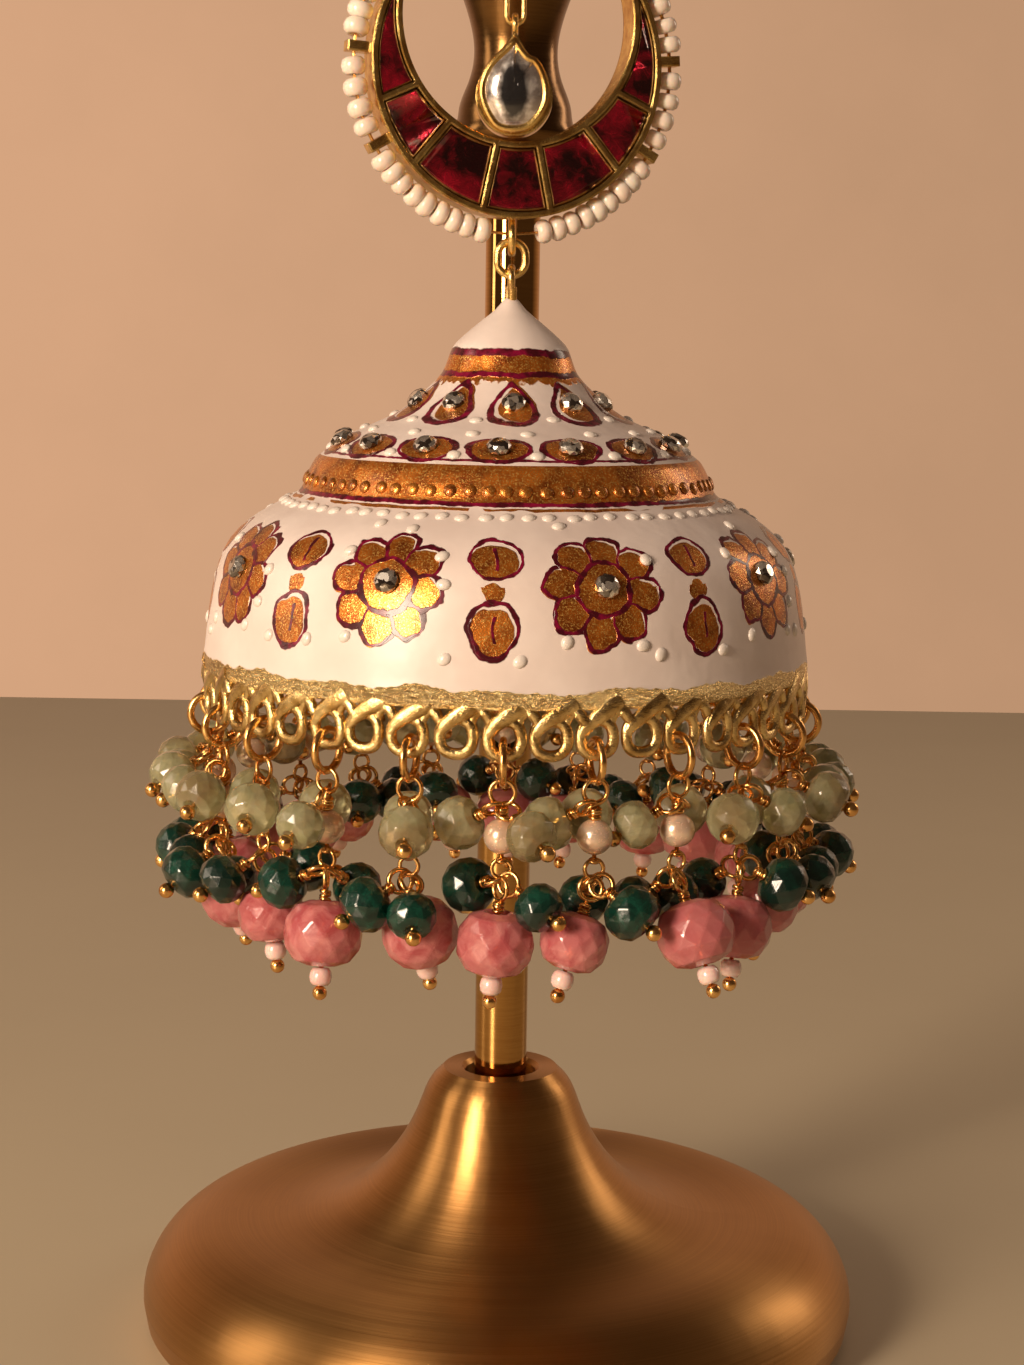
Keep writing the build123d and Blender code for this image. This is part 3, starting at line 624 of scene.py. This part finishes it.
outline, round_it = petals(side, up)
middle = far(side, up)
paint = both_of(inside(petals(side + 0.18, up + 0.28)[0], 0.97), inside(middle, 2.45))
between = inked(middle * (math.radians(22.5) - abs(round_it)), 0.0, pressure * 0.24)
ink = both_of(inked(outline, 1.0, pressure * 0.20) * (middle > 2.2), inked(middle, 2.35, pressure * 0.34),
              between * (middle > 2.2) * (outline < 1.0))

# buds between the flowers: two slashed ovals with a dot between
side = folded(turn, 40, -2) * out + hand_a * 1.1


def oval(side, up, half_wide, half_high):
    return far(side / half_wide, up / half_high)


for at, half_wide, half_high in ((2.75, 2.15, 1.85), (-3.4, 1.95, 2.35)):
    ring = oval(side, up - at, half_wide, half_high)
    fill = oval(side + 0.15, up - at + 0.25, half_wide * 0.93, half_high * 0.9)
    slash = inked(side + hand_b * 0.5, 0.1, 0.17) * (abs(up - at) < 1.15)
    paint = both_of(paint, inside(fill))
    ink = both_of(ink, inked(ring, 1.0, pressure * 0.15), slash)
paint = both_of(paint, inside(oval(side + 0.1, up + 0.30, 0.95, 0.85)))

# ovals on the shelf, and drops on the neck
side = folded(turn, 24, -3.2) * out + hand_a * 0.8
down = (out - 15.25) * 1.14 + hand_b * 0.7
paint = both_of(paint, inside(oval(side, down, 2.5, 1.5)) * (z > 17.9) * (out > 10.0))
ink = both_of(ink, inked(oval(side, down, 2.65, 1.62), 1.0, pressure * 0.17) * (z > 17.9))
side = folded(turn, 36, 2) * out + hand_a * 0.7
up = up_the_side(out, z, 8.75, 22.6) + hand_b * 0.6
narrow = 1.0 - step(up, -2.5, 2.9) * 0.72
drop = oval(side / narrow, up + 0.1, 2.6, 2.75)
spill = oval((side - 0.5) / narrow, up - 0.1, 2.5, 2.6)
paint = both_of(paint, inside(spill, 0.98) * (out < 12.5))
ink = both_of(ink, inked(drop, 1.0, pressure * 0.15 + 0.07) * (out < 12.5))

# bands round the neck, the shelf's edge and the shoulder
wave = grain(tree, node(tree, "ShaderNodeCombineXYZ", {}, {0: x, 1: y}), 0.30, 3) - 0.5
drips = grain(tree, node(tree, "ShaderNodeCombineXYZ", {}, {0: x, 1: y, 2: 9.0}), 0.9, 2)
paint = both_of(paint, step(z, 24.45 + drips * 1.9 - 0.95, 24.55 + drips * 1.9 - 0.95)
                * (z < 27.15), (z > 14.75) * (z < 17.86) * (out > 16.5))
ink = both_of(ink, inked(z + wave * 0.9, 27.1, pressure * 0.34 + 0.12),
              inked(z + wave * 0.9, 25.2, pressure * 0.26 + 0.10),
              inked(z + wave * 0.3, 18.22, pressure * 0.12 + 0.03) * (out > 15.8),
              inked(z + wave * 0.3, 14.72, pressure * 0.24 + 0.05))
paint = both_of(paint, inked(z + wave * 0.4, 14.30, 0.13) * (grain(tree, spot, 0.22, 1) > 0.45))

# glitter: real flakes in the gold paint, whose bright specks in its colour are also painted glints
glitter_and_glints = grain(tree, spot, 7.0, 2, 0.7)
coat = grain(tree, spot, 0.5, 3, 0.6)
orange = blend(tree, step(coat, 0.35, 0.66), (0.24, 0.050, 0.006), (0.70, 0.20, 0.020))
orange = blend(tree, step(glitter_and_glints, 0.52, 0.64), orange, (1.0, 0.58, 0.15))
maroon = blend(tree, step(brush, 0.35, 0.6), (0.22, 0.004, 0.035), (0.055, 0.003, 0.008))
lumps = grain(tree, spot, 0.17, 3, 0.5)
cream = blend(tree, step(lumps, 0.35, 0.65), (0.72, 0.61, 0.56), (0.79, 0.69, 0.64))

# the hem: bare crinkled gold below the enamel's ragged lower edge
edge = z + (grain(tree, spot, 0.16, 4, 0.65) - 0.5) * 2.6
metal = step(edge, 0.35, 0.25)
foil = grain(tree, node(tree, "ShaderNodeVectorMath", {"operation": "MULTIPLY"}, {
    0: spot, 1: (1.0, 1.0, 3.0)}), 1.6, 5, 0.7, warp=0.6)
champagne = blend(tree, step(foil, 0.32, 0.58), (0.48, 0.30, 0.10), (1.0, 0.78, 0.38))
colour = blend(tree, metal, blend(tree, ink, blend(tree, paint, cream, orange), maroon), champagne)
painted = paint * (1.0 - ink) * (1.0 - metal)
bare = 1.0 - both_of(paint, ink, metal)
height = lumps * 0.9 + paint * 0.10 + ink * 0.22 - metal * 0.5 + painted * glitter_and_glints * 0.10
height = height + metal * foil * 1.1
surface(tree, Base_Color=colour, Metallic=both_of(metal, painted * 0.72),
        Roughness=bare * 0.40 + painted * (0.36 - glitter_and_glints * 0.16) + ink * 0.22 + metal * (0.14 + foil * 0.22),
        Coat_Weight=(1.0 - metal) * 0.25, Coat_Roughness=0.22, Specular_IOR_Level=0.35,
        Normal=relief(tree, height, 0.35 * MM, 0.8))

shell = smoothed(turned("bell_shell", BELL, INSIDE + OUTSIDE, 96), 1)
bell_gold = gold("bell_gold", (0.90, 0.62, 0.25), (0.58, 0.36, 0.12), 0.12, 0.04, 0.06, 2.2)
shell.data.materials.append(enamel)
shell.data.materials.append(bell_gold)
pick_faces(shell, lambda face: face.normal.dot(face.center - BELL - Vector((0, 0, 5 * MM))) < 0
           and (face.center - BELL).z > -1.2 * MM)
shell.active_material_index = 1
bpy.ops.object.material_slot_assign()
bpy.ops.object.mode_set(mode="OBJECT")
done(shell, None, "bell", "enamel", "dome")

# Raised work on the bell: dots of white paste, round gold beads under the shelf's edge, and
# foiled glass brilliants set in the middle of each flower, oval and drop.


def on_bell(turn_deg, height, sink=0.0, spin_deg=0.0):
    """A place on the enamel, its Z pointing straight out of it."""
    for (r0, z0), (r1, z1) in zip(OUTSIDE[1:], OUTSIDE[2:]):
        if z0 <= height <= z1:
            share = (height - z0) / (z1 - z0)
            radius = r0 + share * (r1 - r0)
            slope = math.atan2(r0 - r1, z1 - z0)
            break
    turn = Matrix.Rotation(math.radians(turn_deg), 4, "Z")
    lean = Matrix.Rotation(math.pi / 2 - slope, 4, "X")
    at = Matrix.Translation((0, (-radius + sink) * MM, height * MM))
    return Matrix.Translation(BELL) @ turn @ at @ lean @ Matrix.Rotation(math.radians(spin_deg), 4, "Z")


def dot_model(wide, high, tall):
    clear()
    bpy.ops.mesh.primitive_ico_sphere_add(subdivisions=2, radius=1)
    dot = bpy.context.object
    dot.scale = (wide * MM, high * MM, tall * MM)
    bpy.ops.object.transform_apply(scale=True)
    bpy.ops.object.shade_smooth()
    return dot


paste, tree = new_material("white_paste")
spot = place_on(tree)
chalk = grain(tree, spot, 0.9, 3)
surface(tree, Base_Color=blend(tree, chalk, (0.74, 0.66, 0.60), (0.84, 0.77, 0.70)),
        Roughness=chalk * 0.2 + 0.2, Coat_Weight=0.4, Coat_Roughness=0.1,
        Normal=relief(tree, chalk, 0.08 * MM, 0.5))

random.seed(11)
dot = dot_model(0.64, 0.52, 0.30)
places = []
for k in range(70):
    places.append(on_bell(k * 360 / 70 + random.uniform(-0.7, 0.7), 13.72 + random.uniform(-0.08, 0.08),
                          0.03, 20 + random.uniform(-20, 20)))
for k in range(9):
    flower = 18 + 40 * k
    for turn, rise in ((-9.6, 3.4), (-6.4, 5.9), (9.8, 3.1), (11.2, 0.6), (10.4, -2.3), (6.6, -5.3),
                       (-7.6, -5.2), (1.5, 5.3)):
        if random.random() < 0.8:
            places.append(on_bell(flower + turn + random.uniform(-0.6, 0.6),
                                  8.2 + rise * 0.8 + random.uniform(-0.3, 0.3), 0.05, random.uniform(0, 90)))
    for turn in (-14, -27):
        places.append(on_bell(flower + turn + random.uniform(-3, 3), random.uniform(2.5, 3.7), 0.05,
                              random.uniform(0, 90)))
for k in range(10):
    places.append(on_bell(2 + 36 * k + 18 + random.uniform(-2, 2), 21.3 + random.uniform(-0.2, 0.2), 0.03))
for k in range(15):
    places.append(on_bell(-3.2 + 24 * k + 12 + random.uniform(-1.5, 1.5), 18.6, 0.03))
    places.append(on_bell(-3.2 + 24 * k + 11 + random.uniform(-3, 3), 20.3, 0.05))
done(repeat(dot, places, "paste_dots"), paste, "bell", "enamel")
bpy.data.objects.remove(dot)

bead_gold, tree = new_material("painted_gold_beads")
spot = place_on(tree)
# glitter: real flakes in the gold paint, whose bright specks in its colour are also painted glints
glitter_and_glints = grain(tree, spot, 7.0, 2, 0.7)
tone = grain(tree, spot, 0.35, 3)
warm = blend(tree, step(tone, 0.35, 0.65), (0.27, 0.07, 0.01), (0.66, 0.23, 0.03))
surface(tree, Base_Color=blend(tree, step(glitter_and_glints, 0.55, 0.68), warm, (1.0, 0.58, 0.16)),
        Metallic=0.75, Roughness=0.38 - glitter_and_glints * 0.2, Coat_Weight=0.6, Coat_Roughness=0.06,
        Normal=relief(tree, glitter_and_glints, 0.06 * MM, 0.7))
dot = dot_model(0.60, 0.58, 0.26)
places = [on_bell(k * 360 / 70 + random.uniform(-0.5, 0.5), 15.75 + random.uniform(-0.07, 0.07), 0.02)
          for k in range(70)]
done(repeat(dot, places, "shoulder_beads"), bead_gold, "bell", "enamel")
bpy.data.objects.remove(dot)

glass, tree = new_material("foiled_brilliant")
spot = place_on(tree)
# the colour is painted: each cell a white glint or a dark reflection, standing for light on the facets
glint_cell = node(tree, "ShaderNodeTexVoronoi", {}, {"Vector": spot, "Scale": 1.7}, "Color")
painted_glint = node(tree, "ShaderNodeRGBToBW", {}, {0: glint_cell})
surface(tree, Base_Color=blend(tree, step(painted_glint, 0.40, 0.62), (0.13, 0.10, 0.08), (1.0, 0.96, 0.88)),
        Metallic=0.9, Roughness=painted_glint * 0.3 + 0.02, Coat_Weight=1.0, Coat_Roughness=0.01)


def brilliant_model(radius):
    """A round stone's top: three rings of ten, each turned half a step, round a flat table."""
    clear()
    bpy.ops.mesh.primitive_circle_add(vertices=10, radius=radius)
    stone = bpy.context.object
    bpy.ops.object.mode_set(mode="EDIT")
    bpy.ops.mesh.select_mode(type="VERT")
    bpy.ops.mesh.select_all(action="SELECT")
    half_step = math.radians(18)
    for share, rise in ((1.0, 0.34), (0.80, 0.26), (0.62, 0.16)):
        bpy.ops.mesh.extrude_region_move(TRANSFORM_OT_translate={"value": (0, 0, rise * radius)})
        bpy.ops.transform.resize(value=(share, share, 1), center_override=(0, 0, 0))
        bpy.ops.transform.rotate(value=half_step, orient_axis="Z", center_override=(0, 0, 0))
        half_step = -half_step
    bpy.ops.mesh.select_all(action="SELECT")
    bpy.ops.mesh.fill_holes(sides=0)
    bpy.ops.mesh.quads_convert_to_tris(quad_method="SHORTEST_DIAGONAL")
    bpy.ops.mesh.normals_make_consistent(inside=False)
    bpy.ops.object.mode_set(mode="OBJECT")
    return stone


stone = brilliant_model(1.06 * MM)
places = [on_bell(18 + 40 * k + random.uniform(-0.6, 0.6), 8.7 + random.uniform(-0.2, 0.2), 0.05,
                  random.uniform(0, 90)) for k in range(9)]
places += [on_bell(-3.2 + 24 * k + random.uniform(-0.8, 0.8), 19.2, 0.05, random.uniform(0, 90))
           for k in range(15)]
places += [on_bell(2 + 36 * k + random.uniform(-1.5, 1.5), 22.75, 0.05, random.uniform(0, 90))
           for k in range(10)]
done(repeat(stone, places, "brilliants"), glass, "bell", "clear_stone")
bpy.data.objects.remove(stone)

# The hem: forty-four cursive loops of flattened wire, soldered below the gold edge, with round
# arches between them.


def wire_run(name, points, radius, closed=False, fine=4):
    """A smooth round wire along points, as a mesh; a fourth number thins or fattens it there."""
    data = bpy.data.curves.new(name, "CURVE")
    data.dimensions = "3D"
    data.bevel_depth = radius * MM
    data.bevel_resolution = 2
    data.use_fill_caps = True
    run = data.splines.new("NURBS")
    run.points.add(len(points) - 1)
    for spot, point in zip(run.points, points):
        spot.co = (point[0] * MM, point[1] * MM, point[2] * MM, 1)
        spot.radius = point[3] if len(point) > 3 else 1.0
    run.order_u = 4
    run.use_cyclic_u = closed
    run.use_endpoint_u = not closed
    run.resolution_u = fine
    wire = bpy.data.objects.new(name, data)
    bpy.context.scene.collection.objects.link(wire)
    take(wire)
    bpy.ops.object.convert(target="MESH")
    bpy.ops.object.shade_smooth()
    return wire


def joined(*parts):
    take(*parts)
    bpy.ops.object.join()
    return parts[0]


random.seed(7)
LOOP_RING_R = 26.95
PITCH = 2 * math.pi * LOOP_RING_R / 44
ring = wire_run("loop", [(0.0, 0, -5.1), (1.2, 0, -4.75), (1.45, 0, -3.45), (1.1, 0, -2.3),
                         (0.0, 0, -2.0), (-1.1, 0, -2.3), (-1.45, 0, -3.45), (-1.2, 0, -4.75)],
                0.50, closed=True, fine=7)
strip = wire_run("strip", [(-1.35, -0.4, -3.4, 0.9), (-1.0, -0.7, -2.6, 1.3), (-0.1, -0.7, -1.9, 1.6),
                           (0.9, -0.5, -1.2, 1.9), (1.8, -0.1, -0.7, 1.9)], 0.44, fine=6)
arch = wire_run("arch", [(1.1, 0, -2.7, 0.8), (1.3, 0, -1.7, 0.9), (PITCH / 2, 0.05, -1.15, 1.1),
                         (PITCH - 1.5, 0, -1.5, 1.2), (PITCH - 1.1, 0, -2.3, 0.9)], 0.46, fine=6)
strip.scale = (1, 0.55, 1)
take(strip)
bpy.ops.object.transform_apply(scale=True)
loop = joined(ring, strip, arch)
places = []
for k in range(44):
    turn = Matrix.Rotation(math.radians(k * 360 / 44) + random.uniform(-0.006, 0.006), 4, "Z")
    out_at = Matrix.Translation((0, -LOOP_RING_R * MM, random.uniform(-0.08, 0.08) * MM))
    twist = Matrix.Rotation(random.uniform(-0.10, 0.10), 4, "Z") @ Matrix.Rotation(
        random.uniform(-0.05, 0.05), 4, "Y")
    places.append(Matrix.Translation(BELL) @ turn @ out_at @ twist @ Matrix.Diagonal((1, 0.8, 1, 1)))
hem_gold = gold("hem_gold", (1.0, 0.76, 0.35), (0.50, 0.31, 0.10), 0.07, 0.03, 0.14, 3.0)
done(repeat(loop, places, "hem_loops"), hem_gold, "bell", "gold")
bpy.data.objects.remove(loop)

# The bell's eye: a ring of gold wire that the jump ring above passes through, soldered to two
# legs that go down into the enamel tip.
eye = joined(
    wire_run("eye", [(0, 1.03 * math.cos(a), 33.65 + 1.03 * math.sin(a)) for a in
                     [math.radians(30 * i) for i in range(12)]], 0.35, closed=True),
    wire_run("leg", [(0.1, -0.55, 32.9), (0.15, -0.35, 32.2), (0.1, -0.15, 31.5), (0, 0, 30.8)], 0.42),
    wire_run("leg", [(-0.1, 0.55, 32.9), (-0.15, 0.35, 32.2), (-0.1, 0.15, 31.5), (0, 0, 30.8)], 0.42))
eye.matrix_world = Matrix.Translation(BELL)
bpy.ops.object.transform_apply(location=True, rotation=True, scale=True)
eye.name = "bell_eye"
done(eye, bell_gold, "bell", "gold")

# The twenty-two drops: a jump ring in every second loop, a pearl on a wrapped wire below it,
# two pale and two dark green faceted beads and a large pink one on headpins that hang loose.
DROPS = 22
DROP_RING_R = 26.85
UPPER_EYE = -9.05                # the wire the pale charms hang on
PEARL_SPOT = -11.6
LOWER_EYE = -15.1                # the wire the dark and pink charms hang on
GREEN_REACH, PINK_REACH = 4.2, 5.4


def loose_parts(name):
    """Middle and half-size of each separate solid of a CAD piece, in mm from the bell's rim."""
    whole = copy_of(name, "measured")
    take(whole)
    bpy.ops.object.mode_set(mode="EDIT")
    bpy.ops.mesh.select_all(action="SELECT")
    bpy.ops.mesh.separate(type="LOOSE")
    bpy.ops.object.mode_set(mode="OBJECT")
    parts = []
    for part in list(bpy.context.selected_objects):
        spots = [(corner.co - BELL) / MM for corner in part.data.vertices]
        low = Vector([min(spot[i] for spot in spots) for i in range(3)])
        high = Vector([max(spot[i] for spot in spots) for i in range(3)])
        middle = (low + high) / 2
        parts.append((middle, max((spot - middle).length for spot in spots)))
        bpy.data.objects.remove(part)
    return parts


def drop_line(k, z):
    turn = math.radians(k * 360 / DROPS)
    return Vector((DROP_RING_R * math.sin(turn), -DROP_RING_R * math.cos(turn), z))


def nearest_eye(middle, reach, eyes):
    """The eye that a charm hangs from: the one whose distance is its reach."""
    return min(eyes, key=lambda eye: abs((middle - eye).length - reach))


def hang(eye, way, spin):
    """A place at an eye with -Z along the charm."""
    turn = (-way).to_track_quat("Z", "Y").to_matrix().to_4x4()
    return Matrix.Translation(BELL + eye * MM) @ turn @ Matrix.Rotation(spin, 4, "Z")


pearls = loose_parts("pearl_beads")
falls = [PEARL_SPOT - min(pearls, key=lambda part: (part[0].xy - drop_line(k, 0).xy).length)[0].z
         for k in range(DROPS)]
upper_eyes = [drop_line(k, UPPER_EYE) for k in range(DROPS)]
lower_eyes = [drop_line(k, LOWER_EYE - falls[k]) for k in range(DROPS)]


def stone_bead(radius, long):
    """A cut rondelle: rings turned half a step from each other, its hole sunk at each end."""
    clear()
    bpy.ops.mesh.primitive_circle_add(vertices=11, radius=0.2 * MM, location=(0, 0, 0.36 * long * MM))
    bead = bpy.context.object
    bpy.ops.object.transform_apply(location=True)
    bpy.ops.object.mode_set(mode="EDIT")
    bpy.ops.mesh.select_mode(type="VERT")
    bpy.ops.mesh.select_all(action="SELECT")
    rings = [(0.2, 0.36), (0.38 * radius, 0.5), (0.77 * radius, 0.42), (1.01 * radius, 0.21),
             (1.06 * radius, 0), (1.01 * radius, -0.21), (0.77 * radius, -0.42), (0.38 * radius, -0.5),
             (0.2, -0.36)]
    half_step = math.radians(180 / 11)
    for (r0, z0), (r1, z1) in zip(rings, rings[1:]):
        bpy.ops.mesh.extrude_region_move(TRANSFORM_OT_translate={"value": (0, 0, (z1 - z0) * long * MM)})
        bpy.ops.transform.resize(value=(r1 / r0, r1 / r0, 1), center_override=(0, 0, 0))
        bpy.ops.transform.rotate(value=half_step, orient_axis="Z", center_override=(0, 0, 0))
        half_step = -half_step
    bpy.ops.mesh.select_all(action="SELECT")
    bpy.ops.mesh.fill_holes(sides=0)
    bpy.ops.mesh.quads_convert_to_tris(quad_method="SHORTEST_DIAGONAL")
    bpy.ops.mesh.normals_make_consistent(inside=False)
    bpy.ops.mesh.bevel(offset=0.03 * radius * MM, segments=1, affect="EDGES")
    bpy.ops.object.mode_set(mode="OBJECT")
    return bead


def clouded_stone(name, deep, light, odd, rough, glow, through, scale):
    """Polished stone: clouds and veins in it, some beads of another tone, light inside."""
    material, tree = new_material(name)
    spot = place_on(tree)
    clouds = grain(tree, spot, 0.42 * scale, 5, 0.62, warp=0.7)
    tone = grain(tree, spot, 0.11, 1)
    flaws = grain(tree, spot, 1.8 * scale, 4, 0.7)
    colour = blend(tree, step(clouds, 0.36, 0.64), deep, light)
    colour = blend(tree, step(tone, 0.52, 0.60) * 0.75, colour, odd)
    colour = blend(tree, step(flaws, 0.58, 0.72) * 0.35, colour, light)
    surface(tree, Base_Color=colour, Roughness=flaws * 0.16 + rough, Subsurface_Weight=glow,
            Subsurface_Radius=(1.0, 0.8, 0.6), Subsurface_Scale=1.2 * MM, Transmission_Weight=through,
            IOR=1.55, Coat_Weight=0.35, Coat_Roughness=0.10, Normal=relief(tree, flaws, 0.05 * MM, 0.5))
    return material


random.seed(23)
pale_stone = clouded_stone("prehnite", (0.44, 0.44, 0.24), (0.74, 0.72, 0.45), (0.40, 0.29, 0.14),
                           0.08, 0.20, 0.66, 1.0)
dark_stone = clouded_stone("emerald_stone", (0.001, 0.015, 0.010), (0.004, 0.050, 0.031),
                           (0.001, 0.009, 0.007), 0.12, 0.0, 0.0, 1.6)
pink_stone = clouded_stone("rose_quartz", (0.55, 0.11, 0.125), (0.80, 0.31, 0.30), (0.62, 0.18, 0.19),
                           0.08, 0.32, 0.30, 1.1)

green_bead = stone_bead(2.15, 3.5)
green_nominal = math.hypot(2.15, 0.3 * 1.75)
charms = []                       # each green charm's place and size
for name, eyes, material, slot in (("pale_green_beads", upper_eyes, pale_stone, "pale_green"),
                                   ("dark_green_beads", lower_eyes, dark_stone, "dark_green")):
    places = []
    for middle, half in loose_parts(name):
        eye = nearest_eye(middle, GREEN_REACH, eyes)
        way = (middle - eye).normalized()
        size = half / green_nominal
        place = hang(eye, way, random.uniform(0, 6.28))
        charms.append((place, size))
        places.append(place @ Matrix.Translation((0, 0, -GREEN_REACH * MM)) @ Matrix.Diagonal(
            (size, size, size, 1)))
    done(repeat(green_bead, places, "cut_" + name), material, "bell", slot, name)
bpy.data.objects.remove(green_bead)

pink_bead = stone_bead(3.0, 5.2)
pink_nominal = math.hypot(3.0, 0.3 * 2.6)
pink_charms = []
seed_places = []
for number in range(1, DROPS + 1):
    name = "pink_bead_%02d" % number
    middle, half = loose_parts(name)[0]
    eye = lower_eyes[number - 1]
    way = (middle - eye).normalized()
    size = half / pink_nominal
    place = hang(eye, way, random.uniform(0, 6.28))
    pink_charms.append((place, size))
    at = place @ Matrix.Translation((0, 0, -PINK_REACH * MM)) @ Matrix.Diagonal((size, size, size, 1))
    done(repeat(pink_bead, [at], "cut_" + name), pink_stone, "bell", "pink", name)
    seed_places.append(place @ Matrix.Translation((0, 0, -(PINK_REACH + 2.6 * size + 0.86) * MM)))
bpy.data.objects.remove(pink_bead)

seed_pink = pearly("seed_blush", (0.88, 0.66, 0.60), (0.80, 0.52, 0.48), (0.92, 0.70, 0.66), 0.03)
seed = seed_model(0.95 * MM, 1.52 * MM)
done(repeat(seed, seed_places, "tip_seeds"), seed_pink, "bell", "pearl", "seed_beads")
bpy.data.objects.remove(seed)

# The drops' pearls: round and lustrous, one threaded on each wrapped wire. They are made whole and
# the wire simply runs through them, as its wraps cover the ends of the hole.
clear()
bpy.ops.mesh.primitive_uv_sphere_add(segments=28, ring_count=18, radius=1.5 * MM)
pearl = bpy.context.object
bpy.ops.object.shade_smooth()
places = [Matrix.Translation(BELL + drop_line(k, PEARL_SPOT - falls[k]) * MM)
          @ Matrix.Diagonal((1, 1, random.uniform(0.95, 1.0), 1)) for k in range(DROPS)]
pearl_skin = pearly("pearl_skin", (0.94, 0.75, 0.58), (0.80, 0.58, 0.42), (0.95, 0.66, 0.52), 0.02, 0.45)
done(repeat(pearl, places, "fringe_pearls"), pearl_skin, "bell", "pearl", "pearl_beads")
bpy.data.objects.remove(pearl)

# All the drops' gold wire, one piece: a jump ring and two wrapped eyes down each drop, and through
# each bead a headpin that hooks on an eye and ends in a ball.


def wire_ring(radius, thick, at, turn, around=20, sides=6):
    clear()
    bpy.ops.mesh.primitive_torus_add(major_radius=radius * MM, minor_radius=thick * MM,
                                     major_segments=around, minor_segments=sides)
    ring = bpy.context.object
    bpy.ops.object.shade_smooth()
    ring.matrix_world = Matrix.Translation(Vector(at) * MM) @ turn
    bpy.ops.object.transform_apply(location=True, rotation=True)
    return ring


UPRIGHT = Matrix.Rotation(math.pi / 2, 4, "X")       # a ring whose hole faces the drop's front
SIDEWAYS = UPRIGHT @ Matrix.Rotation(math.pi / 2, 4, "Y")


def wraps(at, count, radius, thick):
    """Turns of wire wound round the pin from at upwards, each tipped a little."""
    return [wire_ring(radius, thick, (0, 0, at + i * 1.7 * thick),
                      Matrix.Rotation(0.16 * (-1) ** i, 4, "X"), 12, 5) for i in range(count)]


def pin(low, high, thick):
    clear()
    bpy.ops.mesh.primitive_cylinder_add(vertices=8, radius=thick * MM, depth=(high - low) * MM,
                                        location=(0, 0, (low + high) / 2 * MM))
    rod = bpy.context.object
    bpy.ops.object.shade_smooth()
    bpy.ops.object.transform_apply(location=True)
    return rod


def ball(at, radius):
    clear()
    bpy.ops.mesh.primitive_uv_sphere_add(segments=14, ring_count=9, radius=radius * MM,
                                         location=(0, 0, at * MM))
    bpy.ops.object.shade_smooth()
    bpy.ops.object.transform_apply(location=True)
    return bpy.context.object


def headpin(top, end, size):
    """A charm's wire: a loop on the eye, wraps above the bead, the pin and its ball."""
    parts = [wire_ring(0.96, 0.21, (0, 0, -0.84), UPRIGHT, 18)]
    parts += wraps(-top + 0.08, 3, 0.36, 0.18)
    return joined(*parts, pin(end, -1.6, 0.19), ball(end, size))


def metal_for(charm_list, reach, half_long, tail, ball_size):
    """The headpins of a kind of charm; a longer bead makes a longer pin, with tail left below it."""
    made = []
    for place, scale in charm_list:
        half = half_long * scale
        wire = headpin(reach - half, -(reach + half + tail), ball_size)
        wire.matrix_world = place
        made.append(wire)
    return made


wires = metal_for(charms, GREEN_REACH, 1.75, 0.62, 0.68)
wires += metal_for(pink_charms, PINK_REACH, 2.6, 2.2, 0.62)
for k in range(DROPS):
    fall = falls[k]
    parts = [wire_ring(1.72, 0.34, (0, 0, -5.47), SIDEWAYS, 28, 8),
             wire_ring(1.02, 0.2, (0, 0, -8.0), UPRIGHT), wire_ring(0.8, 0.19, (0, 0, -14.3 - fall), UPRIGHT),
             pin(-13.6 - fall, -9.0, 0.19)]
    parts += wraps(PEARL_SPOT - fall + 1.62, 3, 0.40, 0.19) + wraps(PEARL_SPOT - fall - 2.0, 1, 0.36, 0.18)
    drop = joined(*parts)
    drop.matrix_world = (Matrix.Translation(BELL) @ Matrix.Rotation(math.radians(k * 360 / DROPS), 4, "Z")
                         @ Matrix.Translation((0, -DROP_RING_R * MM, 0)))
    wires.append(drop)
whole = joined(*wires)
bpy.ops.object.transform_apply(location=True, rotation=True, scale=True)
whole.name = "fringe_wire"
wire_gold = gold("wire_gold", (1.0, 0.62, 0.23), (0.66, 0.32, 0.09), 0.08, 0.02, 0.02, 2.4)
done(whole, wire_gold, "bell", "gold", "drop_wires")
